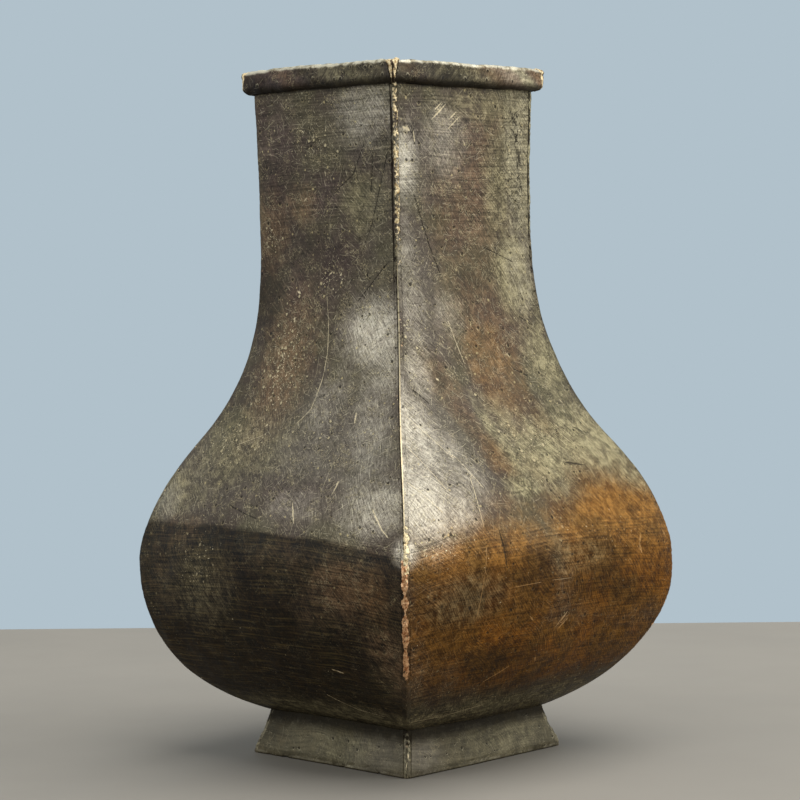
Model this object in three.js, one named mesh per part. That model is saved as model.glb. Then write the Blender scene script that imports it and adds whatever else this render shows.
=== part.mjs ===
// A square copper vase: four bowed wall plates, mitred and brazed down the corners, stand on a splayed
// foot of four panels and carry a thick lip of four bars.
// Millimetres, +Z up. The origin is the centre of the underside of the foot, and the front faces -Y.

import * as THREE from 'three';

// Heights, stacked from the table upwards. They add up to a vase 225 mm tall.
const FOOT_HEIGHT = 14.3;
const BELLY_RISE = 51.6; // crease above the foot to the widest point of a corner
const SHOULDER_RISE = 38.6; // widest point to the shoulder, where the outward curve turns inward
const NECK_RISE = 78.5; // shoulder to the narrowest point of the neck
const MOUTH_RISE = 35.3; // narrowest point to the underside of the lip
const LIP_HEIGHT = 6.7;
const FOOT_BAND = 2.3; // upright band at the bottom of the foot

// Half the side of the square, measured at its corners.
const CREASE_HALF = 32.3; // where the belly meets the foot
const BELLY_HALF = 62.7;
const SHOULDER_HALF = 47.5;
const NECK_HALF = 32;
const MOUTH_FLARE = 0.5; // how much wider the mouth is than the neck, on each side
const FOOT_SPLAY = 3.9; // how far the foot spreads beyond the crease, on each side
const LIP_PROJECTION = 2.7;

// The middle of a face stands out from the straight line between its corners.
const BELLY_SWELL = 3.6;
const BELLY_LIFT = 4; // the middle of a face is at its widest this much higher than a corner
const SHOULDER_SWELL = 3.2;
const NECK_SWELL = 0.4;

// How the section runs: angles above the horizontal, and pulls as shares of each stretch's rise.
const CREASE_ANGLE = 24;
const SHOULDER_ANGLE = 57.3;
const BELLY_PULLS = [0.475, 0.45];
const SHOULDER_PULLS = [0.168, 0.565];
const NECK_PULLS = [0.41, 0.311];
const MOUTH_PULLS = [0.4, 0.4];

// Plate thicknesses.
const WALL_THICKNESS = 2.4;
const FOOT_THICKNESS = 2.4;
const BASE_THICKNESS = 2.4;

// The seams: a V groove filed along both edges of a mitre, filled with braze.
const CLEARANCE = 0.3;
const GROOVE_WIDTH = 1.75; // on each plate
const GROOVE_DEPTH = 1.1;
const SEAM_WEAR = 0.7; // width of the worn flat on the ridge of a seam, on each face

// The lip: bars with a rounded nose, cut short of each other so that a wedge of braze joins them.
const NOSE_RADIUS_BELOW = 2.2;
const NOSE_RADIUS_ABOVE = 1.5;
const INNER_EDGE_RADIUS = 0.6;
const LIP_SETBACK_BELOW = 0.9; // the bars' ends stop this far short of the corner at the underside
const LIP_SETBACK_ABOVE = 3.3; // and this far at the top

// How finely the curves are faceted.
const BELLY_STEPS = 13;
const SHOULDER_STEPS = 10;
const NECK_STEPS = 12;
const MOUTH_STEPS = 3;
const COLUMNS = 8;
const NOSE_STEPS = 4;

// Worked out from the sizes above.
const BELLY_Z = FOOT_HEIGHT + BELLY_RISE;
const SHOULDER_Z = BELLY_Z + SHOULDER_RISE;
const NECK_Z = SHOULDER_Z + NECK_RISE;
const LIP_BOTTOM = NECK_Z + MOUTH_RISE;
const HEIGHT = LIP_BOTTOM + LIP_HEIGHT;
const MOUTH_HALF = NECK_HALF + MOUTH_FLARE;
const MITRE_SETBACK = CLEARANCE / Math.SQRT2;

const SIDES = ['front', 'right', 'back', 'left'];

const patinatedCopper = { color: 0x5a4f3d, roughness: 0.42, metalness: 0.85 };
const wornCopper = { color: 0x6d6450, roughness: 0.4, metalness: 0.85 };
const braze = { color: 0xb58a5e, roughness: 0.5, metalness: 0.9 };

// A direction in the section plane, at an angle above the outward horizontal.
function heading(degrees) {
  const angle = THREE.MathUtils.degToRad(degrees);
  return new THREE.Vector2(Math.cos(angle), Math.sin(angle));
}

// One stretch of the section: it leaves and arrives along two headings, pulled by shares of its rise.
function stretch(from, leaving, to, arriving, pulls) {
  const rise = to.y - from.y;
  const first = from.clone().addScaledVector(leaving, pulls[0] * rise);
  const second = to.clone().addScaledVector(arriving, -pulls[1] * rise);
  return new THREE.CubicBezierCurve(from, first, second, to);
}

// The body's section, from the crease to the underside of the lip, as points of half side and height.
// A swell of 0 gives the line down a corner, and 1 the line down the middle of a face.
function bodyProfile(swell) {
  const up = heading(90);
  const alongShoulder = heading(180 - SHOULDER_ANGLE);
  const outOfShoulder = heading(90 - SHOULDER_ANGLE);
  const crease = new THREE.Vector2(CREASE_HALF, FOOT_HEIGHT);
  const belly = new THREE.Vector2(BELLY_HALF + swell * BELLY_SWELL, BELLY_Z + swell * BELLY_LIFT);
  const shoulder = new THREE.Vector2(SHOULDER_HALF, SHOULDER_Z);
  shoulder.addScaledVector(outOfShoulder, swell * SHOULDER_SWELL);
  const neck = new THREE.Vector2(NECK_HALF + swell * NECK_SWELL, NECK_Z);
  const mouth = new THREE.Vector2(MOUTH_HALF, LIP_BOTTOM);
  const stretches = [
    [stretch(crease, heading(CREASE_ANGLE), belly, up, BELLY_PULLS), BELLY_STEPS],
    [stretch(belly, up, shoulder, alongShoulder, SHOULDER_PULLS), SHOULDER_STEPS],
    [stretch(shoulder, alongShoulder, neck, up, NECK_PULLS), NECK_STEPS],
    [stretch(neck, up, mouth, up, MOUTH_PULLS), MOUTH_STEPS],
  ];
  const points = [crease];
  for (const [curve, steps] of stretches) {
    points.push(...curve.getPoints(steps).slice(1));
  }
  return points;
}

// The foot's section, from the table up to the crease: an upright band, then a straight splay.
function footProfile() {
  const tableHalf = CREASE_HALF + FOOT_SPLAY;
  return [
    new THREE.Vector2(tableHalf, 0),
    new THREE.Vector2(tableHalf, FOOT_BAND),
    new THREE.Vector2(CREASE_HALF, FOOT_HEIGHT),
  ];
}

// A section moved inwards by a distance, square to itself. Its ends slide along their own stretch until
// they are level with the outer ends, so that a plate's cut edges lie flat.
function inset(profile, distance) {
  const last = profile.length - 1;
  const along = profile.slice(1).map((point, i) => point.clone().sub(profile[i]).normalize());
  const outward = along.map((direction) => new THREE.Vector2(direction.y, -direction.x));
  return profile.map((point, i) => {
    const before = outward[Math.max(i - 1, 0)];
    const after = outward[Math.min(i, last - 1)];
    const middle = before.clone().add(after).normalize();
    const moved = point.clone().addScaledVector(middle, -distance / middle.dot(before));
    if (i === 0 || i === last) {
      const direction = along[Math.min(i, last - 1)];
      moved.addScaledVector(direction, (point.y - moved.y) / direction.y);
      moved.y = point.y;
    }
    return moved;
  });
}

// A point of the front face at a distance x from its middle, between a corner's line and the middle line.
function facePoint(corner, middle, x) {
  const share = 1 - (x / corner.x) ** 2;
  const half = THREE.MathUtils.lerp(corner.x, middle.x, share);
  const height = THREE.MathUtils.lerp(corner.y, middle.y, share);
  return new THREE.Vector3(x, -half, height);
}

// A closed solid through rings of points that all have the same count. A ring runs anticlockwise for
// someone who looks back along the way from the first ring to the last. Each end is closed flat, by the
// triangles that fill its outline.
function loft(rings, firstOutline, lastOutline) {
  const count = rings[0].length;
  const positions = rings.flat().flatMap((point) => [point.x, point.y, point.z]);
  const triangles = [];
  for (let ring = 0; ring < rings.length - 1; ring += 1) {
    for (let i = 0; i < count; i += 1) {
      const next = (i + 1) % count;
      const a = ring * count + i;
      const b = ring * count + next;
      triangles.push(a, b, b + count, a, b + count, a + count);
    }
  }
  for (const [a, b, c] of THREE.ShapeUtils.triangulateShape(firstOutline, [])) {
    triangles.push(a, c, b);
  }
  const top = (rings.length - 1) * count;
  for (const [a, b, c] of THREE.ShapeUtils.triangulateShape(lastOutline, [])) {
    triangles.push(top + a, top + b, top + c);
  }
  const geometry = new THREE.BufferGeometry();
  geometry.setAttribute('position', new THREE.Float32BufferAttribute(positions, 3));
  geometry.setIndex(triangles);
  geometry.computeVertexNormals();
  return geometry;
}

// A loft through level rings, whose ends are filled as seen from above.
function levelLoft(rings) {
  const fromAbove = (ring) => ring.map((point) => new THREE.Vector2(point.x, point.y));
  return loft(rings, fromAbove(rings[0]), fromAbove(rings[rings.length - 1]));
}

// A front plate bent to a section, with mitred edges that are grooved on the outside.
function mitredPlate(corner, middle, thickness) {
  const innerCorner = inset(corner, thickness);
  const innerMiddle = inset(middle, thickness);
  const grooveFloor = inset(corner, GROOVE_DEPTH);
  const rings = corner.map((edge, row) => {
    const ring = [];
    const reach = edge.x - GROOVE_WIDTH;
    for (let column = 0; column <= COLUMNS; column += 1) {
      ring.push(facePoint(edge, middle[row], reach * (2 * column / COLUMNS - 1)));
    }
    const floor = grooveFloor[row];
    ring.push(new THREE.Vector3(floor.x - MITRE_SETBACK, -floor.x, floor.y));
    const innerReach = innerCorner[row].x - MITRE_SETBACK;
    ring.push(new THREE.Vector3(innerReach, -innerCorner[row].x, innerCorner[row].y));
    for (let column = 1; column < COLUMNS; column += 1) {
      ring.push(facePoint(innerCorner[row], innerMiddle[row], innerReach * (1 - 2 * column / COLUMNS)));
    }
    ring.push(new THREE.Vector3(-innerReach, -innerCorner[row].x, innerCorner[row].y));
    ring.push(new THREE.Vector3(MITRE_SETBACK - floor.x, -floor.x, floor.y));
    return ring;
  });
  return levelLoft(rings);
}

// The same point on the other side of the mitre between the front and the right.
function acrossMitre(point) {
  return new THREE.Vector3(-point.y, -point.x, point.z);
}

// The braze that fills the groove down the corner between the front and the right. Its ridge is worn flat.
function cornerSeam(corner, middle) {
  const root = inset(corner, GROOVE_DEPTH - CLEARANCE);
  const rings = corner.map((edge, row) => {
    const side = facePoint(edge, middle[row], edge.x - GROOVE_WIDTH + CLEARANCE);
    const shoulder = new THREE.Vector3(edge.x - SEAM_WEAR, -edge.x, edge.y);
    const ridge = new THREE.Vector3(edge.x - SEAM_WEAR / 3, SEAM_WEAR / 3 - edge.x, edge.y);
    const apex = new THREE.Vector3(root[row].x, -root[row].x, root[row].y);
    return [side, shoulder, ridge, acrossMitre(shoulder), acrossMitre(side), apex];
  });
  return levelLoft(rings);
}

// The section of a lip bar, as points of half side and height. Its back is flush with the wall inside.
function lipSection() {
  const inner = MOUTH_HALF - WALL_THICKNESS;
  const nose = MOUTH_HALF + LIP_PROJECTION;
  const quarter = Math.PI / 2;
  const outline = new THREE.Path();
  outline.moveTo(inner, LIP_BOTTOM);
  outline.absarc(inner + INNER_EDGE_RADIUS, HEIGHT - INNER_EDGE_RADIUS, INNER_EDGE_RADIUS,
    Math.PI, quarter, true);
  outline.absarc(nose - NOSE_RADIUS_ABOVE, HEIGHT - NOSE_RADIUS_ABOVE, NOSE_RADIUS_ABOVE,
    quarter, 0, true);
  outline.absarc(nose - NOSE_RADIUS_BELOW, LIP_BOTTOM + NOSE_RADIUS_BELOW, NOSE_RADIUS_BELOW,
    0, -quarter, true);
  return outline.getPoints(NOSE_STEPS);
}

// How far a bar's end stops short of the corner at a height: a V that opens towards the top.
function lipSetback(height) {
  const share = (height - LIP_BOTTOM) / LIP_HEIGHT;
  return THREE.MathUtils.lerp(LIP_SETBACK_BELOW, LIP_SETBACK_ABOVE, share);
}

// The outline of the lip's section as seen from the end of a front bar.
function lipOutline(section) {
  return section.map((point) => new THREE.Vector2(-point.x, point.y));
}

function lipBar(section) {
  const rings = [-1, 1].map((end) => section.map((point) => {
    const reach = point.x - lipSetback(point.y);
    return new THREE.Vector3(end * reach, -point.x, point.y);
  }));
  return loft(rings, lipOutline(section), lipOutline(section));
}

// The wedge of braze between the front and the right bar.
function lipWedge(section) {
  const shortfall = CLEARANCE * Math.SQRT2;
  const start = section.map((point) => {
    const reach = point.x - lipSetback(point.y) + shortfall;
    return new THREE.Vector3(reach, -point.x, point.y);
  });
  const corner = section.map((point) => new THREE.Vector3(point.x, -point.x, point.y));
  const rings = [start, corner, start.map(acrossMitre)];
  return loft(rings, lipOutline(section), lipOutline(section));
}

function piece(name, geometry, finish) {
  const mesh = new THREE.Mesh(geometry, new THREE.MeshStandardMaterial(finish));
  mesh.name = name;
  return mesh;
}

// One side of the vase, made as the front one, with the seams of the corner on its right.
function side(name, nextName) {
  const corner = bodyProfile(0);
  const middle = bodyProfile(1);
  const foot = footProfile();
  const lip = lipSection();
  const group = new THREE.Group();
  group.add(
    piece(`wall_${name}`, mitredPlate(corner, middle, WALL_THICKNESS), patinatedCopper),
    piece(`foot_${name}`, mitredPlate(foot, foot, FOOT_THICKNESS), wornCopper),
    piece(`lip_${name}`, lipBar(lip), wornCopper),
    piece(`seam_${name}_${nextName}`, cornerSeam(corner, middle), braze),
    piece(`foot_seam_${name}_${nextName}`, cornerSeam(foot, foot), braze),
    piece(`lip_wedge_${name}_${nextName}`, lipWedge(lip), braze),
  );
  return group;
}

// The plate that closes the body. It lies inside the top of the foot, and the walls' lower edges rest on
// its margin and on the foot.
function basePlate() {
  const innerFoot = inset(footProfile(), FOOT_THICKNESS);
  const plateSide = 2 * (innerFoot[innerFoot.length - 1].x - CLEARANCE);
  const mesh = piece('base_plate', new THREE.BoxGeometry(plateSide, plateSide, BASE_THICKNESS), patinatedCopper);
  mesh.position.z = FOOT_HEIGHT - BASE_THICKNESS / 2;
  return mesh;
}

const vase = new THREE.Group();
SIDES.forEach((name, turn) => {
  const group = side(name, SIDES[(turn + 1) % SIDES.length]);
  group.rotation.z = turn * Math.PI / 2;
  vase.add(group);
});
vase.add(basePlate());

export default vase;
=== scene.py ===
# %% [markdown]
# A square copper vase, hand made from four bowed plates that are mitred and brazed at the corners.
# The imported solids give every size. This lesson dresses each of them in a fine surface of its own, with
# the dents, worn edges and lumpy braze of the real one, and then builds the patina, which does most of
# the work in the picture.

# %% The fixed model
import math
from types import SimpleNamespace

import bpy
import numpy as np
from mathutils import Matrix, Vector


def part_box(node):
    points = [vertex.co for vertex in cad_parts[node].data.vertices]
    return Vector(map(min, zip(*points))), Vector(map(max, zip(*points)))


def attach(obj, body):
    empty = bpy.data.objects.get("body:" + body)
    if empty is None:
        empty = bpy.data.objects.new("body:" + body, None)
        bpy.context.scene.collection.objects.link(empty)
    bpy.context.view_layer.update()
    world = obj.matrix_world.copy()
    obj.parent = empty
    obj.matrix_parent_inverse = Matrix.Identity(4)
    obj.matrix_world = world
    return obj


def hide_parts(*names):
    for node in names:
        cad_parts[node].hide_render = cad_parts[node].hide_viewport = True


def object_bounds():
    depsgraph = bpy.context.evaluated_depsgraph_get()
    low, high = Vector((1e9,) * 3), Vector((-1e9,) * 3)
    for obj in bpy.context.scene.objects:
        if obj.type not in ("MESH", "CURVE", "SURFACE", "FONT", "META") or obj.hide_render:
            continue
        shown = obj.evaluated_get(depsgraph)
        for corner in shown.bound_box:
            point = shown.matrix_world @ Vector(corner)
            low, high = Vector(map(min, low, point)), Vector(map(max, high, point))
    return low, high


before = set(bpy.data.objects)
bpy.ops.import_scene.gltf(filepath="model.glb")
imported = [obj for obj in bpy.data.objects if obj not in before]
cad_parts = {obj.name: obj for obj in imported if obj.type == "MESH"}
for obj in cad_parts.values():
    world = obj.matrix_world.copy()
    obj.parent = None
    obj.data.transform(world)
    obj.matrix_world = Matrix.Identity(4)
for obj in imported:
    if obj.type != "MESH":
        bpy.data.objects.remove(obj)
SOLID_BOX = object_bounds()
MM = 0.001
SIDES = ("front", "right", "back", "left")
CORNERS = [f"{side}_{SIDES[(i + 1) % 4]}" for i, side in enumerate(SIDES)]
print("solids:", len(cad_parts))

# %% [markdown]
# The camera comes first, because every later choice is judged through it. The picture shows the vase
# corner on, from three and a half vase heights away, with the eye at the foot of the neck. The slopes of
# the lip and the foot give the distance and the height, and the vase leans a little to the left, which is
# made by rolling the camera and not by bending the vase.

# %% The camera
CAMERA_DISTANCE, EYE_HEIGHT = 785.5 * MM, 149.3 * MM
VIEW_ANGLE, PITCH_DOWN, ROLL = (math.radians(angle) for angle in (45, 2.37, -1.3))
LENS, SENSOR = 106.4, 36.0

TOWARDS_CAMERA = Vector((math.sin(VIEW_ANGLE), -math.cos(VIEW_ANGLE), 0))
TO_THE_RIGHT = Vector((math.cos(VIEW_ANGLE), math.sin(VIEW_ANGLE), 0))
UP = Vector((0, 0, 1))


def seen_from_camera(right, near, up):
    """A place given by how far it is to the right of the vase's axis, towards the camera, and up."""
    return TO_THE_RIGHT * right + TOWARDS_CAMERA * near + UP * up


def put(name, data):
    """A new object in the scene."""
    thing = bpy.data.objects.new(name, data)
    bpy.context.scene.collection.objects.link(thing)
    return thing


def aim(thing, here, gaze, roll=0.0):
    """Sets a camera or a lamp at a place, looking along its gaze."""
    turn = gaze.to_track_quat("-Z", "Y").to_matrix().to_4x4() @ Matrix.Rotation(roll, 4, "Z")
    thing.matrix_world = Matrix.Translation(here) @ turn


def make_camera():
    data = bpy.data.cameras.new("camera")
    data.lens, data.sensor_width = LENS, SENSOR
    camera = put("camera", data)
    gaze = -TOWARDS_CAMERA * math.cos(PITCH_DOWN) - UP * math.sin(PITCH_DOWN)
    aim(camera, seen_from_camera(0, CAMERA_DISTANCE, EYE_HEIGHT), gaze, ROLL)
    bpy.context.scene.camera = camera
    return camera


camera = make_camera()
print("camera at", [round(c, 3) for c in camera.matrix_world.translation])

# %% [markdown]
# The section of the vase is four cubic curves, the same ones as in the solids: from the crease above the
# foot to the widest point, in to the shoulder, up to the narrowest point of the neck, and out to the
# mouth. One set runs down a corner and a second, a little fuller and a little higher, down the middle of
# a face. Everything on the body hangs on these two lines, so they are worked out once as arrays.

# %% The body's section, in millimetres
FOOT_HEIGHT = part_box("foot_front")[1][2] / MM
HEIGHT = SOLID_BOX[1][2] / MM
LIP_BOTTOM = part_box("wall_front")[1][2] / MM
BELLY_Z = FOOT_HEIGHT + 51.6
SHOULDER_Z = BELLY_Z + 38.6
NECK_Z = SHOULDER_Z + 78.5
CREASE_HALF, BELLY_HALF, SHOULDER_HALF, NECK_HALF, MOUTH_HALF = 32.3, 62.7, 47.5, 32.0, 32.5
BELLY_SWELL, BELLY_LIFT, SHOULDER_SWELL, NECK_SWELL = 3.6, 4.0, 3.2, 0.4
CREASE_ANGLE, SHOULDER_ANGLE = 24, 57.3
PULLS = ((0.475, 0.45), (0.168, 0.565), (0.41, 0.311), (0.4, 0.4))
PLATE = 2.4


def heading(degrees):
    """The unit direction at an angle above the outward horizontal of the section."""
    return np.array([math.cos(math.radians(degrees)), math.sin(math.radians(degrees))])


def cubic(start, leaving, end, arriving, t):
    """A cubic curve: each control point lies along its heading, by a share of the rise."""
    t = t[:, None]
    first, second = start + leaving, end - arriving
    return (1 - t) ** 3 * start + 3 * (1 - t) ** 2 * t * first + 3 * (1 - t) * t**2 * second + t**3 * end


def body_line(swell, t):
    """Half side and height at t from 0 to 4. A swell of 0 is a corner's line and 1 the middle's."""
    up, out = heading(90), heading(90 - SHOULDER_ANGLE)
    knots = [
        (np.array([CREASE_HALF, FOOT_HEIGHT]), heading(CREASE_ANGLE)),
        (np.array([BELLY_HALF + swell * BELLY_SWELL, BELLY_Z + swell * BELLY_LIFT]), up),
        (np.array([SHOULDER_HALF, SHOULDER_Z]) + out * swell * SHOULDER_SWELL, heading(180 - SHOULDER_ANGLE)),
        (np.array([NECK_HALF + swell * NECK_SWELL, NECK_Z]), up),
        (np.array([MOUTH_HALF, LIP_BOTTOM]), up),
    ]
    line = np.zeros((len(t), 2))
    for i, (pull_out, pull_in) in enumerate(PULLS):
        (start, leaving), (end, arriving) = knots[i], knots[i + 1]
        rise = end[1] - start[1]
        here = (t >= i) & (t <= i + 1)
        line[here] = cubic(start, leaving * pull_out * rise, end, arriving * pull_in * rise, t[here] - i)
    return line


def arc_length(line):
    """The distance run along a line of points, from its first point."""
    return np.concatenate([[0], np.cumsum(np.linalg.norm(np.diff(line, axis=0), axis=1))])


def even_steps(spacing):
    """Values of t from 0 to 4 that lie a spacing apart, measured along the middle of a face."""
    t = np.linspace(0, 4, 4001)
    run = arc_length(body_line(1, t))
    count = int(round(run[-1] / spacing))
    return np.interp(np.linspace(0, run[-1], count + 1), run, t)


print("heights:", [round(z, 1) for z in (FOOT_HEIGHT, BELLY_Z, SHOULDER_Z, NECK_Z, LIP_BOTTOM)])

# %% [markdown]
# Nothing beaten by hand is straight. If every piece had its own noise, neighbours would cross or part at
# the joints. So one smooth field of random waves pushes all of them the same way, by about a quarter of a
# millimetre, and dies out at the table, where the foot stands flat. Each piece adds its own finer relief.

# %% The unevenness of handwork
CORNER_OUTLINE = body_line(0, np.linspace(0, 4, 200))
DRIFT_LENGTH, DRIFT, STILL_BELOW = 70, 0.22, 12
BULGES = ((118, 28, 1.6), (90, 16, 0.9), (52, 13, 1.2))
BULGE_FROM, BULGE_FULL = 0.75, 1.4
WAVE_SPREAD = 0.7, 1.4
LEAN, LEAN_FROM, LEAN_TO = 1.1, 180, 216


def joined(*parts):
    """Points whose coordinates are given one by one, each a number or an array."""
    return np.stack(np.broadcast_arrays(*parts), axis=-1)


def random_waves(points, length, seed, count=12):
    """A smooth random height: the sum of sine waves of about one length, with random headings and phases."""
    rng = np.random.default_rng(seed)
    headings = rng.normal(size=(count, 3))
    headings /= np.linalg.norm(headings, axis=1)[:, None]
    numbers = 2 * np.pi / (length * rng.uniform(*WAVE_SPREAD, count))
    phases = rng.uniform(0, 2 * np.pi, count)
    return np.sin(points @ (headings * numbers[:, None]).T + phases).sum(axis=-1) / math.sqrt(count / 2)


def layers_of_waves(points, *layers):
    """The sum of layers of random waves. A layer is its height, its length and its seed."""
    return sum(size * random_waves(points, length, seed) for size, length, seed in layers)


def fade(value, start, end):
    """0 before the start and 1 past the end, with a smooth step between. The start may be the higher one."""
    share = np.clip((value - start) / (end - start), 0, 1)
    return share * share * (3 - 2 * share)


def span(value, start, full, fading, end):
    """1 between two places and 0 beyond them, with a smooth step at both ends."""
    return fade(value, start, full) * fade(value, end, fading)


def bell(value, width):
    """1 where the value is 0, falling as a bell curve on both sides."""
    return np.exp(-(value / width) ** 2)


def hand_made(points):
    """The points moved by the shared random field, whose upward part fades to nothing at the table. The
    mouth is not level either, and its left side stands LEAN higher. The corner on the right of the picture
    stands out further than the others: at three heights, each with a reach and a size in BULGES, as bell
    curves that fade out towards the middles of the faces beside it."""
    x, z = points[:, 0], points[:, 2]
    drift = joined(*(DRIFT * random_waves(points, DRIFT_LENGTH, seed) for seed in (11, 12, 13)))
    drift[:, 2] *= np.clip(z / STILL_BELOW, 0, 1)
    drift[:, 2] += LEAN * fade(z, LEAN_FROM, LEAN_TO) * np.clip(0.5 - x / (2 * NECK_HALF), 0, 1)
    right = np.array(TO_THE_RIGHT)
    outward = points @ right / np.interp(z, CORNER_OUTLINE[:, 1], CORNER_OUTLINE[:, 0])
    push = sum(size * bell(z - height, reach) for height, reach, size in BULGES)
    return points + drift + (push * fade(outward, BULGE_FROM, BULGE_FULL))[:, None] * right


print("drift at the mouth", np.round(hand_made(np.array([[0.0, -32, 218]]))[0], 2))

# %% [markdown]
# Every piece is one closed skin: rings of points stacked in rows, and a cap at each end. The same few
# lines turn such a stack into a mesh, so they are written once. The mesh also gets a map called surface,
# which counts millimetres across and along the face, because the brush lines and scratches of the patina
# follow the face and not the room. Marks are values at the points that the finishes read later. A mesh
# made from rings can come out inside out, so its signed volume is measured, and the faces are turned if
# it is negative.

# %% From rings to a finished piece
SIDE_STEP, BRAZE_STEP = 300, 100
LIP_START, FOOT_START, BASE_START = 260, -40, -120
SHARP = math.radians(40)


def skin_faces(rows, count):
    """Quads between stacked closed rings of one count, and a flat cap on the first and the last ring."""
    row, i = np.meshgrid(np.arange(rows - 1), np.arange(count), indexing="ij")
    a, b = row * count + i, row * count + (i + 1) % count
    quads = joined(a, b, b + count, a + count).reshape(-1, 4)
    return quads, [list(range(count - 1, -1, -1)), list(range((rows - 1) * count, rows * count))]


def signed_volume(points, quads):
    """The sum of the small pyramids from the centre to each quad, positive when the quads face outwards."""
    p = points - points.mean(axis=0)
    a, b, c, d = (p[quads[:, i]] for i in range(4))
    return (np.cross(a, b) * c).sum() / 6 + (np.cross(a, c) * d).sum() / 6


def turned(points, side):
    """Points made for the front side, turned exactly to another side: 1 is right, 2 back and 3 left."""
    c, s = ((1, 0), (0, 1), (-1, 0), (0, -1))[side]
    x, y = points[..., 0], points[..., 1]
    return joined(c * x - s * y, s * x + c * y, points[..., 2])


def make_piece(name, node, rings, across, run, marks):
    """A piece from rings of points in millimetres, with its surface map and its marks, one value a point."""
    rows, count = rings.shape[:2]
    points = hand_made(rings.reshape(-1, 3))
    quads, caps = skin_faces(rows, count)
    if signed_volume(points, quads) < 0:
        quads, caps = quads[:, ::-1], [cap[::-1] for cap in caps]
    mesh = bpy.data.meshes.new(name)
    mesh.from_pydata((points * MM).tolist(), [], quads.tolist() + caps)
    corners = np.empty(len(mesh.loops), dtype=np.int32)
    mesh.loops.foreach_get("vertex_index", corners)
    surface = joined(np.broadcast_to(across, (rows, count)), run).reshape(-1, 2)
    mesh.uv_layers.new(name="surface").data.foreach_set("uv", surface[corners].astype(np.float32).ravel())
    for mark, values in marks.items():
        values = np.broadcast_to(values, (rows, count)).astype(np.float32)
        mesh.attributes.new(mark, "FLOAT", "POINT").data.foreach_set("value", values.ravel())
    mesh.shade_smooth()
    mesh.set_sharp_from_angle(angle=SHARP)
    piece = put(name, mesh)
    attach(piece, "root")
    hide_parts(node)
    return piece


print("faces of a cube, as two rings of four points:", sum(map(len, skin_faces(2, 4))))

# %% [markdown]
# The four walls are the vase. On the real one each is a plate hammered over a form, so a face is never
# quite even: light runs over it in slow waves, and a few dents and knocks break them. A bump texture would
# show none of this at the outline, so the relief goes into the mesh, on a grid of about 0.75 mm. A row of
# the grid is a ring: the bowed face, a V groove at each edge, the mitre, and the inner face.

# %% The plates' rows
GRID = 0.75
ROWS = even_steps(GRID)
CORNER, MIDDLE = body_line(0, ROWS), body_line(1, ROWS)
RUN = arc_length(MIDDLE)
GROOVE_WIDTH, GROOVE_DEPTH, CLEARANCE = 1.75, 1.1, 0.3
FACE_COLUMNS, INNER_COLUMNS, ARRIS_POWER = 165, 20, 40
RING_COUNT = FACE_COLUMNS + INNER_COLUMNS + 2
FACE = np.linspace(-1, 1, FACE_COLUMNS)[None]
RING = np.append(FACE, np.linspace(1, -1, RING_COUNT - FACE_COLUMNS))[None]


def inset(line, distance):
    """The line moved inwards along its normals, its ends slid along the line until they are level again."""
    along = np.gradient(line, axis=0)
    along /= np.linalg.norm(along, axis=1)[:, None]
    moved = line - joined(along[:, 1], -along[:, 0]) * distance
    for end in (0, -1):
        moved[end] += along[end] * (line[end, 1] - moved[end, 1]) / along[end, 1]
    return moved


def face_points(corner, middle, x):
    """Front face: from the corner's line to the middle's, half side and height follow 1 - (x / corner)^2."""
    share = 1 - (x / corner[:, :1]) ** 2
    half, height = (corner[:, i : i + 1] * (1 - share) + middle[:, i : i + 1] * share for i in (0, 1))
    return joined(x, -half, height)


def plate_rings(corner, middle, relief, ragged):
    """The rings of a mitred front plate. The relief moves the face along its normals, in millimetres."""
    edge = np.where(FACE > 0, ragged[:, 1:], ragged[:, :1]) * np.abs(FACE) ** ARRIS_POWER
    face = face_points(corner, middle, (corner[:, :1] - GROOVE_WIDTH - edge) * FACE)
    normal = np.cross(np.gradient(face, axis=1), np.gradient(face, axis=0))
    face = face + normal / np.linalg.norm(normal, axis=-1)[..., None] * relief[..., None]
    floor, inner = inset(corner, GROOVE_DEPTH), inset(corner, PLATE)
    setback = CLEARANCE / math.sqrt(2)
    inside = (inner[:, :1] - setback) * np.linspace(1, -1, INNER_COLUMNS)
    floor_right = joined(floor[:, 0] - setback, -floor[:, 0], floor[:, 1])[:, None]
    inside = face_points(inner, inset(middle, PLATE), inside)
    return np.concatenate([face, floor_right, inside, floor_right * (-1, 1, 1)], axis=1)


def on_face(values):
    """Values on the columns of a face, and 0 on the rest of each ring."""
    values = np.broadcast_to(values, (len(values), FACE_COLUMNS))
    return np.pad(values, ((0, 0), (0, RING_COUNT - FACE_COLUMNS)))


BEHIND = 1 - on_face(np.ones((1, 1)))
print("rows:", len(ROWS), "run of a face:", round(RUN[-1], 1), "mm")
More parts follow.
